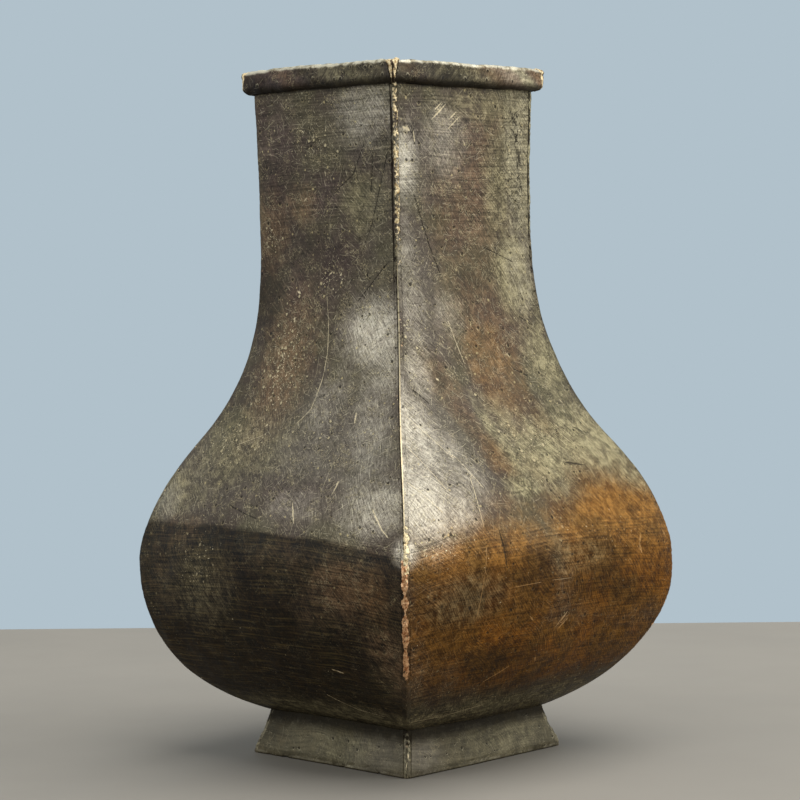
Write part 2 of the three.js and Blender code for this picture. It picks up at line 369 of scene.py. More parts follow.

# %% [markdown]
# The knocks are listed side by side. Each is a shallow bowl with a faint swell round it, given by its place
# across and along the face, its two half widths, its depth and, where it is turned, its angle. A few dozen
# smaller ones are scattered at random with a fixed seed, so that every run gives the same vase.

# %% Hammer waves and knocks
KNOCKS = {
    "front": [
        (45, 89, 3.2, 1, 0.3, 35), (-12, 134, 4, 2.2, 0.22, 20), (0, 212, 2, 1.2, 0.22),
        (22, 147, 7, 3, 0.25, -30), (-40, 100, 9, 5, 0.35, 10), (30, 104, 10, 4, 0.28, 70),
        (28, 95, 2.5, 0.8, 0.25, 60), (10, 60, 12, 6, 0.3), (36, 119, 3, 0.9, 0.2, 65),
        (-46, 40, 8, 4, 0.3, 30), (4, 166, 2.2, 1.4, 0.22), (-24, 179, 3, 2.2, 0.25),
    ],
    "right": [
        (-28, 210, 1.8, 1.3, 0.3), (44.5, 69.7, 3.6, 1.1, 0.45, 60), (30, 81, 2.2, 1.5, 0.25),
        (-28, 154, 1.2, 1.2, 0.25), (-29, 139, 1.2, 1.2, 0.25), (-34, 128, 1.4, 1.2, 0.25),
        (-30, 107, 5, 2.5, 0.3, 50), (-25, 131, 6, 2.5, 0.3, -70), (0, 184, 1.6, 1.4, 0.3),
        (-45, 98, 8, 4, 0.3, -65), (-12, 96, 10, 5, 0.3, -60), (7, 45, 2.6, 1.6, 0.35, 20),
        (22, 106, 9, 4, 0.3, 15), (0, 50, 13, 6, 0.3), (35, 50, 9, 5, 0.3, -20),
    ],
    "back": [
        (10, 120, 8, 4, 0.35, 40), (-22, 86, 4, 1.5, 0.35, -30), (16, 190, 3, 1.6, 0.25, 60),
        (-35, 60, 10, 5, 0.3, 10),
    ],
    "left": [
        (20, 96, 7, 3, 0.35, 25), (-18, 150, 3, 1.2, 0.3, 75), (8, 70, 3.4, 1.2, 0.4, -40),
        (30, 48, 9, 5, 0.3), (-8, 200, 2.4, 1.4, 0.25),
    ],
}
SMALL_KNOCKS, KNOCK_SIZES, KNOCK_SLOPES = 46, (1.2, 4.0), (0.02, 0.055)
RAISED_RIM, RIM_REACH = 0.35, 1.8
HAMMER_WAVES = ((0.10, 30, 31), (0.045, 13, 32), (0.02, 6, 33))


def ellipse(across, run, x, y, half_x, half_y, turn=0):
    """The square of the distance from the middle of a turned ellipse, which is 1 on its edge."""
    c, s = math.cos(math.radians(turn)), math.sin(math.radians(turn))
    x, y = across - x, run - y
    return (x * c + y * s) ** 2 / half_x**2 + (y * c - x * s) ** 2 / half_y**2


def wall_relief(side, across, run, points):
    """Slow hammer waves, less the knocks, faded near the edges, where the mitre holds the plate straight. A
    knock is depth * (exp(-d^2) - rim * exp(-(d / reach)^2)), with d the distance, 1 on its ellipse."""
    height = layers_of_waves(points, *HAMMER_WAVES)
    rng = np.random.default_rng(40 + side)
    for _ in range(SMALL_KNOCKS):
        x, y = rng.uniform(-1, 1), rng.uniform(8, RUN[-1] - 6)
        x *= 0.9 * np.interp(y, RUN, CORNER[:, 0])
        size = rng.uniform(*KNOCK_SIZES)
        depth = size * rng.uniform(*KNOCK_SLOPES)
        other, turn = size * rng.uniform(0.4, 1), rng.uniform(0, 180)
        height -= depth * np.exp(-ellipse(across, run, x, y, size, other, turn))
    for x, y, half_x, half_y, depth, *turn in KNOCKS[SIDES[side]]:
        far = ellipse(across, run, x, y, half_x, half_y, *turn)
        height -= depth * (np.exp(-far) - RAISED_RIM * np.exp(-far / RIM_REACH**2))
    to_edge = np.interp(run, RUN, CORNER[:, 0]) - np.abs(across)
    return height * fade(to_edge, 1.2, 7) * fade(RUN[-1] - run, 0, 4) * fade(run, 0, 3)


print("knocks placed by eye:", sum(map(len, KNOCKS.values())))

# %% [markdown]
# Where the patina changes is also given as patches on each face, in the same terms as the knocks, with a
# strength in place of the depth. Ash is a grey half gloss. Plum is a purple brown, where the oxide is thin.
# Rust is a dull brown and gold a golden one, strongest on the belly of the right side. Green is pale and
# powdery verdigris. Soot, nearly black, lies in worn hollows, and its patches low on the belly are painted
# shade on the underside. Bare is metal rubbed as grey as old silver, and near the corner between the front
# and the right side its patches are partly painted highlights. Flecked stands for clusters of cream flecks
# and crust. The patches only say roughly where. The material breaks their edges up later with noise, which
# is what makes them look grown and not painted. The two sides that the picture hides get the same kinds in
# places of their own: rubbed metal with painted highlights by the corners, painted shade and gold low down,
# green near the mouth.

# %% Where the patina changes
# Soot patches low on each belly are painted shade on its underside, and bare patches near the corner between
# the front and the right side are partly painted highlights.
PATCHES = {
    "front": {
        "ash": [
            (20, 106, 34, 24, 1), (32, 140, 18, 24, 0.8, 8), (18, 213, 16, 12, 0.5),
            (-44, 96, 20, 16, 0.6), (-8, 96, 22, 12, 0.6), (26, 176, 8, 26, 0.3),
        ],
        "plum": [
            (0, 189, 9, 7, 1, 20), (-22, 206, 12, 20, 0.9), (12, 91, 22, 7, 0.7), (-4, 166, 22, 18, 0.8),
        ],
        "rust": [
            (-22, 66, 16, 8, 0.35), (-50, 66, 16, 14, 0.5), (40, 64, 18, 10, 1.15), (8, 70, 16, 6, 0.5),
            (-26, 180, 8, 12, 0.6), (-11, 188, 7, 6, 0.6), (-14, 134, 12, 24, 0.8, -8),
            (-40, 76, 14, 6, 0.6), (53, 42, 9, 18, 0.9), (30, 66, 26, 8, 0.4), (26, 54, 10, 8, 0.5),
        ],
        "gold": [(48, 62, 12, 12, 0.3)],
        "green": [
            (-24, 106, 24, 12, 0.5, 8), (-46, 92, 14, 8, 0.5), (-29, 60, 17, 13, 0.6),
            (16, 186, 9, 12, 0.34), (10, 9, 60, 8, 0.8),
        ],
        "soot": [
            (6, 40, 46, 20, 1.3), (-44, 40, 16, 14, 1.1), (0, 22, 60, 8, 0.9), (-46, 70, 14, 6, 0.8),
            (-22, 196, 12, 8, 0.4), (-28, 160, 10, 14, 0.65), (-20, 100, 16, 8, 0.28),
            (-24, 178, 8, 10, 0.4), (-6, 172, 14, 10, 0.42),
        ],
        "bare": [
            (24, 147, 12, 10, 1), (31, 138, 6, 13, 0.7, 12), (46, 90, 12, 8, 0.85, 16),
            (34, 114, 7, 30, 0.5, 16), (20, 216, 13, 9, 0.6), (14, 88, 16, 5, 0.3),
            (12, 124, 7, 12, 0.35, -20), (-52, 88, 7, 6, 0.5), (61, 79, 4, 4, 0.9),
        ],
        "flecked": [
            (-14, 134, 10, 18, 1), (-22, 110, 18, 8, 0.8, 10), (-4, 208, 10, 7, 0.7),
            (-25, 178, 5, 5, 0.9), (2, 165, 9, 6, 0.8), (12, 118, 14, 8, 0.5), (-30, 68, 12, 8, 0.5),
        ],
    },
    "right": {
        "ash": [
            (-38, 110, 22, 30, 1, 16), (-24, 158, 10, 28, 0.7, 6), (-22, 200, 12, 16, 0.7),
            (-2, 118, 16, 16, 0.5), (-7, 206, 11, 14, 1), (5, 113, 3, 11, 0.9, 30),
        ],
        "plum": [(3, 206, 7, 12, 0.4), (2, 184, 7, 10, 0.6, 8)],
        "rust": [
            (-54, 40, 10, 10, 0.5), (-17, 117, 4, 22, 0.62, 25), (-12, 104, 5, 9, 0.6, 20),
            (4, 142, 7, 14, 0.6, 8), (2, 190, 18, 28, 0.65), (5, 151, 19, 20, 0.6), (10, 214, 10, 8, 0.5),
            (-22, 130, 6, 11, 0.6, 30), (27, 103, 5, 9, 0.7, 40), (4, 98, 5, 6, 0.7, 20),
        ],
        "gold": [
            (38, 68, 36, 25, 1.3), (-28, 56, 36, 25, 1.15), (10, 36, 64, 14, 1.1),
            (-46, 72.5, 18, 6.5, 1.1, 5), (4, 128, 12, 20, 0.4, 12), (-10, 101, 6, 9, 0.4, 24),
            (14, 118, 5, 12, 0.35, 30),
        ],
        "green": [
            (28, 205, 9, 28, 1.4), (21, 164, 8, 13, 1.3), (16, 192, 7, 14, 0.75),
            (9, 102, 14, 13, 0.9, -25), (36, 107, 26, 12, 1), (50, 98, 12, 8, 0.8), (8, 219, 14, 5, 0.6),
            (-2, 110, 8, 12, 0.6, 20), (-38, 60, 17, 8, 0.32), (12, 68, 16, 6, 0.25),
            (28, 136, 9, 14, 0.8), (-6, 106, 3, 15, 0.8, 14), (-5, 92, 8, 4, 1), (14, 107, 3, 12, 0.9, 34),
            (-10, 10, 60, 9, 0.6),
        ],
        "soot": [
            (4, 160, 16, 12, 0.3), (-16, 112, 4, 16, 0.4, 25), (16, 116, 3, 12, 0.3, 32),
            (0, 100, 2, 12, 0.35, 30), (22, 92, 12, 2.4, 0.35, 4), (-6, 66, 5, 8, 0.55),
            (-22, 131, 4, 5, 0.5), (-36, 60, 20, 9, 0.5), (-6, 64, 12, 8, 0.5), (30, 58, 16, 7, 0.4),
            (-20, 36, 24, 6, 0.6), (-21, 74, 1.2, 5, 0.7),
        ],
        "bare": [
            (-51, 95, 13, 16, 1.1, 18), (-42, 118, 9, 24, 1, 14), (-28, 160, 5, 22, 0.5, 4),
            (-28, 200, 5, 11, 0.95), (-30, 104, 6, 16, 0.6, 22), (-36, 88, 10, 7, 0.75, 10),
            (-10, 207, 9, 10, 0.5), (-30, 134, 5, 8, 0.6), (-12, 152, 6, 8, 0.35, 10),
            (26, 200, 7, 28, 0.42), (24, 164, 7, 12, 0.4), (-61, 79, 5, 4.5, 1.1),
        ],
        "flecked": [
            (2, 108, 14, 12, 0.7), (-48, 78, 14, 7, 0.9), (24, 204, 6, 18, 0.5), (30, 74, 24, 9, 0.4),
            (-31, 146, 4, 20, 0.6),
        ],
    },
    "back": {
        "ash": [(-32, 112, 20, 36, 0.9, -10), (34, 110, 18, 28, 0.7, 10)],
        "plum": [(14, 196, 12, 20, 0.8), (-10, 130, 12, 12, 0.7)],
        "rust": [(-30, 80, 18, 10, 0.7), (6, 160, 9, 20, 0.7, 10)],
        "gold": [(14, 58, 50, 18, 1)],
        "green": [(-26, 204, 8, 20, 0.9), (4, 104, 26, 14, 0.8), (44, 84, 12, 8, 0.6)],
        "soot": [(6, 40, 40, 18, 1)],
        "bare": [
            (-40, 104, 12, 26, 0.8, -12), (44, 98, 10, 20, 0.7, 14), (-24, 190, 6, 24, 0.5),
        ],
        "flecked": [(10, 120, 14, 16, 0.8)],
    },
    "left": {
        "ash": [(34, 112, 20, 30, 0.9, 12)],
        "plum": [(-14, 190, 12, 20, 0.8), (12, 130, 16, 16, 0.7)],
        "rust": [(30, 60, 16, 12, 0.7), (4, 180, 10, 14, 0.7)],
        "gold": [(-20, 58, 44, 16, 0.8)],
        "green": [(2, 208, 18, 10, 0.7), (-30, 110, 20, 12, 0.8), (34, 84, 14, 8, 0.6)],
        "soot": [(-8, 42, 40, 18, 1)],
        "bare": [
            (42, 104, 11, 26, 0.8, 14), (-46, 96, 10, 22, 0.7, -14), (24, 200, 8, 12, 0.5),
        ],
        "flecked": [(-10, 150, 12, 16, 0.8), (20, 80, 14, 8, 0.6)],
    },
}
# Painted shade on the underside of each side's belly, put into the soot mask: the run where it starts, its
# softness, its strength and its slope across the face.
BELLY_SHADE = ((80.2, 2.6, 0.93, -0.042), (50, 32, 0.66, 0), (66, 20, 0.7, 0.03), (77, 7, 0.84, -0.02))
SHADE_WANDER, PATCH_FALL = 0.4, 0.7
# A thin line of painted shade on the walls just under the lip: its strength and its width.
LIP_SHADE, LIP_SHADE_WIDTH = 1.3, 0.8


def patch(strength, far):
    """strength * exp(-fall * d^3), from the square of the distance d, which is 1 on the patch's ellipse."""
    return strength * np.exp(-PATCH_FALL * far**1.5)


def patch_masks(side, across, run):
    """For each kind of patina, the strongest of its patches at each point. The soot mask also carries painted
    shade: below a height the face is darkened by a smooth step that is as high, as soft, as strong and as
    sloped as BELLY_SHADE says, and a thin line under the lip is darkened as painted shade too."""
    masks = {}
    for kind, patches in PATCHES[SIDES[side]].items():
        masks[kind] = np.zeros(across.shape)
        for x, y, half_x, half_y, strength, *turn in patches:
            far = ellipse(across, run, x, y, half_x, half_y, *turn)
            masks[kind] = np.maximum(masks[kind], patch(strength, far))
    top, softness, strength, slope = BELLY_SHADE[side]
    uneven = SHADE_WANDER * random_waves(joined(across, run * 0.3, side * 90), 16, 55)
    shade = strength * fade(top + slope * across + uneven - run, 0, softness)
    shade_and_grime = LIP_SHADE * bell(RUN[-1] - run, LIP_SHADE_WIDTH)
    masks["soot"] = np.maximum(masks["soot"], np.maximum(shade, shade_and_grime))
    return masks


print("patches placed by eye:", sum(len(patches) for side in PATCHES.values() for patches in side.values()))

# %% [markdown]
# The long scratches of the picture are listed like the knocks, from point to point on a face. Dark ones
# have cut through to old dirt, and bright ones are fresh. A scratch is only a third of a millimetre wide,
# finer than the grid, but its signed distance is a plane, which the grid carries exactly. So the mesh
# keeps that distance, in half widths, with a second value that is 1 near the scratch, and the material
# draws a sharp line where the distance passes through 0. The hidden sides get a few as well.

# %% The placed scratches
CUTS = {
    "dark": {
        "front": [
            (18.4, 206, 15.6, 201.5, 0.26), (15.6, 201.5, 13.1, 197, 0.3), (13.1, 197, 7.6, 193.5, 0.24),
            (7.6, 193.5, 2.7, 190, 0.18), (22.3, 203, 21, 191, 0.3), (29.2, 204, 26.4, 196, 0.28),
            (26.4, 196, 21.6, 181, 0.24), (21.6, 181, 16.9, 172, 0.2), (27.4, 168, 16, 157, 0.24),
            (-16.7, 86.5, -9, 84.2, 0.34), (-9, 84.2, -2.1, 82.6, 0.22), (16.1, 177, 15.9, 175.8, 0.7),
            (19.8, 165.4, 19.6, 164.2, 0.6), (8.4, 200, 7.8, 196, 0.22),
        ],
        "right": [
            (-24.6, 211, -23.6, 206, 0.36), (-23.8, 189.5, -18.6, 176, 0.3),
            (-18.6, 176, -13.8, 164.4, 0.36), (7.8, 172.4, 20.8, 168.2, 0.26), (17.6, 99, 26.1, 97.8, 0.5),
            (-22.2, 79, -21.4, 68, 0.5), (-33.5, 128, -29.8, 123.4, 0.3), (0, 184.4, 0.1, 183.8, 0.8),
            (21.6, 217.6, 24.6, 213, 0.9), (24.4, 216.8, 21.4, 213.6, 0.6),
            (22.4, 211.6, 25.6, 207.4, 0.8), (25.6, 211, 24, 206.6, 0.5), (24.6, 205.6, 27, 200.4, 0.7),
            (27, 205, 25.4, 198.4, 0.5), (26, 196.6, 27.6, 190, 0.4), (21, 150, 26, 147.6, 0.3),
            (12, 132.6, 17, 130.4, 0.26), (30, 112, 36, 109.6, 0.3),
        ],
        "back": [
            (6, 188, 14, 168, 0.3), (-30, 118, -12, 96, 0.3),
        ],
        "left": [
            (-14, 196, -4, 182, 0.3), (18, 128, 30, 110, 0.3),
        ],
    },
    "bright": {
        "front": [
            (2, 158, 3.6, 150, 0.1), (3.6, 150, 5.7, 139.7, 0.15), (5.7, 139.7, 5.9, 131.1, 0.17),
            (5.9, 131.1, 4.6, 120.7, 0.18), (4.6, 120.7, 0.7, 116.2, 0.15), (12.7, 88.4, 15.6, 82.3, 0.44),
            (28.5, 96.8, 28.1, 93.5, 0.36), (25, 119.8, 25.6, 117.2, 0.36), (45.5, 89.3, 50.6, 84, 0.34),
            (50.6, 84, 53.2, 82.4, 0.26), (0.8, 212, 0.7, 211.6, 0.45), (-5, 209.6, -5.3, 209.2, 0.45),
            (-10.2, 211.4, -9.8, 211, 0.4), (3.4, 166.2, 2.6, 165.6, 0.45),
            (-11.8, 160.4, -10.9, 159.9, 0.6), (-12.7, 151.6, -12.6, 150.8, 0.6),
            (0, 198, 0.1, 197.4, 0.5), (-9, 190, -9.6, 189.4, 0.5), (6.2, 152, 6, 151.5, 0.45),
            (-16.2, 139.4, -15.6, 138.6, 0.5), (14.8, 21.3, 22.4, 14.4, 0.2),
            (22.4, 14.4, 33.1, 12.8, 0.18), (25.9, 34.3, 29.6, 33.7, 0.3), (-24, 108, -14, 111, 0.14),
        ],
        "right": [
            (-15.2, 213.9, -9.2, 218.5, 0.42), (-7.2, 214.1, -4.4, 216.3, 0.4),
            (-7.6, 211.2, -3, 214.7, 0.2), (-13.4, 217.2, -11, 219, 0.26), (-28.2, 211, -26, 210.2, 1.2),
            (-23.9, 209.4, -23.5, 206.8, 0.3), (-26.7, 96.4, -28.1, 81.3, 0.15),
            (-17.2, 60.8, -6, 60.9, 0.1), (0, 61, 8.4, 60.9, 0.09), (-29.2, 74.2, -32.9, 53.5, 0.11),
            (29.5, 121.8, 29.9, 121.2, 0.6), (48.4, 106.4, 48.8, 106, 0.6), (21.6, 93.2, 22.3, 92.8, 0.55),
            (-23, 131, -22.7, 130.6, 0.55), (57.9, 74.4, 58.6, 73.2, 0.6), (44.8, 73.4, 43.8, 70.8, 0.5),
            (43.8, 70.8, 44.6, 67.6, 0.62), (4.5, 45.3, 8.5, 49.4, 0.5), (6.4, 44.4, 9.6, 47.4, 0.4),
            (-8.8, 50, -7.8, 49, 0.5), (-0.8, 34.4, -0.4, 33.4, 0.6), (-20.1, 27.8, -12.3, 32.6, 0.14),
            (-38.4, 10.2, -25.6, 10.2, 0.24), (-25.6, 10.2, -12, 14.2, 0.2), (-46, 112, -38, 94, 0.12),
            (-40, 120, -30, 104, 0.12), (-52, 100, -43, 88, 0.14), (-13, 149, -10, 136, 0.14),
            (-30, 106, -23, 93, 0.12),
        ],
        "back": [
            (10, 140, 4, 131, 0.16), (28, 88, 25, 80, 0.18),
        ],
        "left": [
            (-6, 150, -3, 139, 0.16), (26, 92, 30, 86, 0.2), (8, 208, 3, 213, 0.2),
        ],
    },
}
CUT_WIDTH, LONG_CUT, CUT_REACH, CUT_END = 0.8, 0.38, 1.4, 0.7
NOWHERE, OFF_THE_LINE = 99.0, 9.0


def cut_marks(side, kind, across, run):
    """The signed distance to the nearest scratch in half widths, and how near its length a point is. Wide
    scratches are single strokes and taper towards both ends. Thin ones are parts of a longer line."""
    best, signed, near = (np.full(across.shape, value) for value in (NOWHERE, OFF_THE_LINE, 0.0))
    for x0, y0, x1, y1, width in CUTS[kind][SIDES[side]]:
        length = math.hypot(x1 - x0, y1 - y0)
        ux, uy = (x1 - x0) / length, (y1 - y0) / length
        along = (across - x0) * ux + (run - y0) * uy
        beside = (run - y0) * ux - (across - x0) * uy
        beyond = np.maximum(np.maximum(-along, along - length), 0)
        far = np.hypot(beside, beyond)
        share = np.clip(along / length, 0.03, 0.97)
        half = width * CUT_WIDTH * (np.sqrt(4 * share * (1 - share)) if width > LONG_CUT else 1.0)
        closer = far < best
        best = np.where(closer, far, best)
        signed = np.where(closer, beside / half, signed)
        near = np.where(closer, np.clip(1.25 - beyond / CUT_END, 0, 1) * (far < CUT_REACH), near)
    return {f"{kind}_cut": signed, f"{kind}_near": near}


print("placed scratches:", sum(len(cuts) for kind in CUTS.values() for cuts in kind.values()))

# %% [markdown]
# Now the plates themselves. Each wall is built as the front one, from the rings, the relief, the patches
# and the scratches of its own side, and is then turned exactly into its place. The arrises that meet the
# braze are a little ragged, because a file leaves them so. The inside has a mark of its own, for its plain
# dark finish.

# %% The four walls
def make_wall(side):
    """The front plate moved out by its relief, its arrises ragged by waves of about 3 mm, and turned."""
    across = (CORNER[:, :1] - GROOVE_WIDTH) * RING
    place = turned(face_points(CORNER, MIDDLE, across[:, :FACE_COLUMNS]), side)
    face, run = np.broadcast_arrays(across[:, :FACE_COLUMNS], RUN[:, None])
    edge_line = joined(0, RUN, side * 50)
    ragged = 0.05 * joined(random_waves(edge_line, 3.0, 60), random_waves(edge_line, 3.4, 61))
    ragged[:, 1] += 0.04 * fade(RUN, 130, 170)
    rings = turned(plate_rings(CORNER, MIDDLE, wall_relief(side, face, run, place), ragged), side)
    marks = patch_masks(side, face, run)
    for kind in CUTS:
        marks.update(cut_marks(side, kind, face, run))
    marks = {name: on_face(values) for name, values in marks.items()}
    name = SIDES[side]
    return make_piece(f"{name}_plate", f"wall_{name}", rings, across + side * SIDE_STEP,
                      RUN[:, None], marks | {"inside": BEHIND})


walls = [make_wall(side) for side in range(4)]
print("quads in a wall:", len(walls[0].data.polygons))

# %% [markdown]
# The braze down a corner was run in molten and filed back by hand. What is left is a lumpy bead in a
# groove, worn round on top, with a dark crack beside it where the flow missed the plate. Its section is
# a hyperbola that rounds the corner: for u across the bead, the two distances from the corner are
# (sqrt(u^2 + r^2) - u) / 2 and (sqrt(u^2 + r^2) + u) / 2. Lumps and pits ride on that, more of them where
# the picture shows them, at the mouth and on the belly.

# %% The seams down the corners
SEAM_GRID = 0.4
SEAM_ROWS = even_steps(SEAM_GRID)
SEAM_CORNER, SEAM_MIDDLE = body_line(0, SEAM_ROWS), body_line(1, SEAM_ROWS)
BEAD_STEPS = 27
BEAD = np.linspace(-1, 1, BEAD_STEPS)[None]
LAID_BARE = (1.0, 0.3, 0.7, 0.1)
NECK_RUN, BELLY_RUN, SHOULDER_RUN = (150, 190), (20, 40, 78, 92), (70, 90, 150, 185)
PINK_RUN, CREAM_RUN = (33, 40, 73, 79), (68, 76, 80, 92)


def bead_rings(corner, middle, width, worn, lumps):
    """Rings of braze on the corner of front and right: over the rounded ridge and back through its root."""
    u = BEAD * np.where(BEAD < 0, width[:, :1], width[:, 1:])
    root = np.sqrt(u**2 + worn**2)
    left, right = (root - u) / 2, (root + u) / 2

    def bow(distance):
        return 1 - (1 - distance / corner[:, :1]) ** 2

    swell, lift = (middle - corner)[:, :1], (middle - corner)[:, 1:]
    x = corner[:, :1] - left + swell * bow(right)
    y = -(corner[:, :1] - right + swell * bow(left))
    out = 0.7 * (lumps - 0.10 * np.abs(BEAD) ** 6)
    bead = joined(x + out, y - out, corner[:, 1:] + lift * (bow(left) + bow(right)))
    deep = inset(corner, GROOVE_DEPTH - CLEARANCE)
    return np.concatenate([bead, joined(deep[:, 0], -deep[:, 0], deep[:, 1])[:, None]], axis=1)


def bead_piece(side, node, place, line, run, width, worn, lumps, marks):
    """A bead of braze on a corner. Its last column, the root, takes the marks of the one before it."""
    rings = turned(bead_rings(*line, width, worn, lumps), side)
    across = side * SIDE_STEP + BRAZE_STEP + GROOVE_WIDTH * np.append(BEAD, 0)
    for mark, values in marks.items():
        marks[mark] = np.pad(np.broadcast_to(values, lumps.shape), ((0, 0), (0, 1)), "edge")
    name = CORNERS[side]
    return make_piece(f"{name}_{place}", f"{node}_{name}", rings, across, run, marks)


def make_seam(side):
    """A bead along the corner's line. Its lumps are waves of 2.6, 1.2 and 7 mm, low all along and full
    height at the neck and the belly, where the corner is also worn rounder."""
    run = arc_length(SEAM_MIDDLE)
    line = joined(run, 0, side * 40)
    run = run[:, None]
    neck, belly, shoulder = fade(run, *NECK_RUN), span(run, *BELLY_RUN), span(run, *SHOULDER_RUN)
    laid_bare = LAID_BARE[side]

    def waves(length, seed):
        return random_waves(line, length, seed)[:, None]

    fine = layers_of_waves(joined(run, BEAD * 1.6, side * 40), (0.7, 2.6, 71), (0.6, 1.2, 72))
    lumps = 0.03 + (0.12 + 0.88 * np.maximum(neck, belly) * laid_bare) * (0.13 * fine + 0.06 * waves(7, 73))
    width = GROOVE_WIDTH - 0.03 - 0.03 * (1 + np.hstack([waves(2.6, 75), waves(3.2, 78)])) * neck
    width[:, :1] -= 0.2 * neck * fade(waves(5, 74), -1.0, 0.8)
    worn = 0.34 + 0.4 * belly + 0.2 * neck + 0.08 * waves(9, 76)
    edge = np.interp(run, RUN, CORNER[:, 0]) + 0 * BEAD
    here, there = (patch_masks(s, x, run + 0 * BEAD) for s, x in ((side, edge), ((side + 1) % 4, -edge)))
    right = fade(BEAD, -0.25, 0.25)
    marks = {kind: here[kind] * (1 - right) + there[kind] * right for kind in here}
    strip = np.exp(-(np.abs(BEAD + 0.08) / (0.6 + 0.18 * waves(4, 79))) ** 5)
    marks["pink"] = laid_bare * span(run, *PINK_RUN) * strip
    marks["cream"] = laid_bare * (0.7 * neck + 0.85 * span(run, *CREAM_RUN)) * fade(BEAD, -0.5, -0.15)
    # The pale ridge is worn braze and partly a painted highlight, strongest on the shoulders.
    marks["ridge"] = (0.3 + 0.7 * shoulder) * bell(BEAD, 0.17) * (0.4 + 0.6 * laid_bare)
    # On the shoulders the crack mark also paints a thin line of shade beside the ridge.
    crack_and_shade = neck * fade(BEAD + 0.16 * waves(3.4, 80), -0.5, -0.72) + 0.75 * shoulder * bell(BEAD + 0.3, 0.1)
    marks["crack_and_shade"] = crack_and_shade * (0.3 + 0.7 * laid_bare) + 0.2
    return bead_piece(side, "seam", "braze", (SEAM_CORNER, SEAM_MIDDLE), run, width, worn, lumps, marks)


seams = [make_seam(side) for side in range(4)]
print("quads in a seam:", len(seams[0].data.polygons))

# %% [markdown]
# The lip is four thick bars with a rounded nose, filed by hand and knocked along the top edge. A bar is a
# closed profile carried along the side. Its ends are cut in a V that opens upwards, and a wedge of braze
# fills the V, so the length of the bar depends on the height. The profile is sampled evenly, and its nose
# waves in and out by a tenth of a millimetre or two.

# %% The lip bars
LIP_BACK, LIP_NOSE = MOUTH_HALF - PLATE, MOUTH_HALF + 3.2
LOWER, HIGHER = 0.5, 0.3
NOSE_ABOVE, NOSE_BELOW, INNER_EDGE = 1.5, 2.2, 0.6
SETBACK_BELOW, SETBACK_ABOVE = 0.9, 3.3
BAR_STEPS = 150
BAR_PATCHES = {
    "front": (("plum", -20, 18, 1.1), ("soot", -30, 8, 0.7), ("soot", -2, 5, 0.6), ("green", 12, 14, 0.4),
              ("soot", 20, 9, 0.35), ("rust", -14, 4, 0.5)),
    "right": (("rust", -27, 5, 0.25), ("ash", -17, 6, 0.5), ("green", -4, 12, 0.6), ("soot", -8, 14, 0.8),
              ("rust", 16, 10, 1.3), ("bare", 21, 8, 0.5), ("green", 25, 2.6, 1.3), ("rust", 31, 4, 1.0),
              ("flecked", 25, 4, 1.0)),
    "back": (("green", -10, 16, 0.8), ("rust", 20, 8, 0.7)),
    "left": (("plum", 12, 16, 0.9), ("green", -20, 9, 0.7)),
}


def arc(centre, radius, start, end, count=14):
    """Points on an arc about a centre, between two angles in degrees."""
    angle = np.radians(np.linspace(start, end, count))
    return joined(centre[0] + radius * np.cos(angle), centre[1] + radius * np.sin(angle))


def lip_section(count):
    """The closed outline of a bar, as half side and height: up the back, over the top, and round the nose."""
    outline = np.concatenate([
        [[LIP_BACK, LIP_BOTTOM]],
        arc((LIP_BACK + INNER_EDGE, HEIGHT - INNER_EDGE), INNER_EDGE, 180, 90),
        arc((LIP_NOSE - NOSE_ABOVE, HEIGHT - NOSE_ABOVE), NOSE_ABOVE, 90, 0),
        arc((LIP_NOSE - NOSE_BELOW, LIP_BOTTOM + NOSE_BELOW), NOSE_BELOW, 0, -90),
        [[LIP_BACK, LIP_BOTTOM]],
    ])
    run = arc_length(outline)
    even = np.linspace(0, run[-1], count + 1)[:-1]
    return np.interp(even, run, outline[:, 0]), np.interp(even, run, outline[:, 1]), even


BAR_HALF, BAR_Z, BAR_RUN = lip_section(72)
BAR_DEPTH = BAR_Z - LIP_BOTTOM
SETBACK = SETBACK_BELOW + (SETBACK_ABOVE - SETBACK_BELOW) * BAR_DEPTH / (HEIGHT - LIP_BOTTOM)
TOP_EDGE = bell(BAR_Z - (HEIGHT - 0.3), 0.8) * fade(BAR_HALF, LIP_BACK + 1, LIP_NOSE - 1.2)
FREE = fade(BAR_HALF, LIP_BACK + 0.5, MOUTH_HALF + 0.8)
HANG = HIGHER * fade(BAR_Z, LIP_BOTTOM + 3, HEIGHT - 1) * fade(BAR_HALF, LIP_BACK + 0.5, MOUTH_HALF)
HANG -= LOWER * fade(BAR_DEPTH, 4, 1) * fade(BAR_HALF, MOUTH_HALF + 0.15, MOUTH_HALF + 1.3)


def lip_rings(side, x, y, relief, outwards):
    """The bar's section carried along, moved out from its middle by a relief, and turned to its side. Its
    nose hangs a little lower and its top stands a little higher than those of the solid."""
    away = BAR_HALF - (LIP_BACK + LIP_NOSE) / 2, BAR_Z - (LIP_BOTTOM + HEIGHT) / 2
    out = joined(away[0] * outwards[0], away[0] * outwards[1], away[1]) / np.hypot(*away)[:, None]
    rings = joined(x, y, BAR_Z) + out * (relief * FREE)[..., None]
    rings[..., 2] += HANG
    return turned(rings, side)


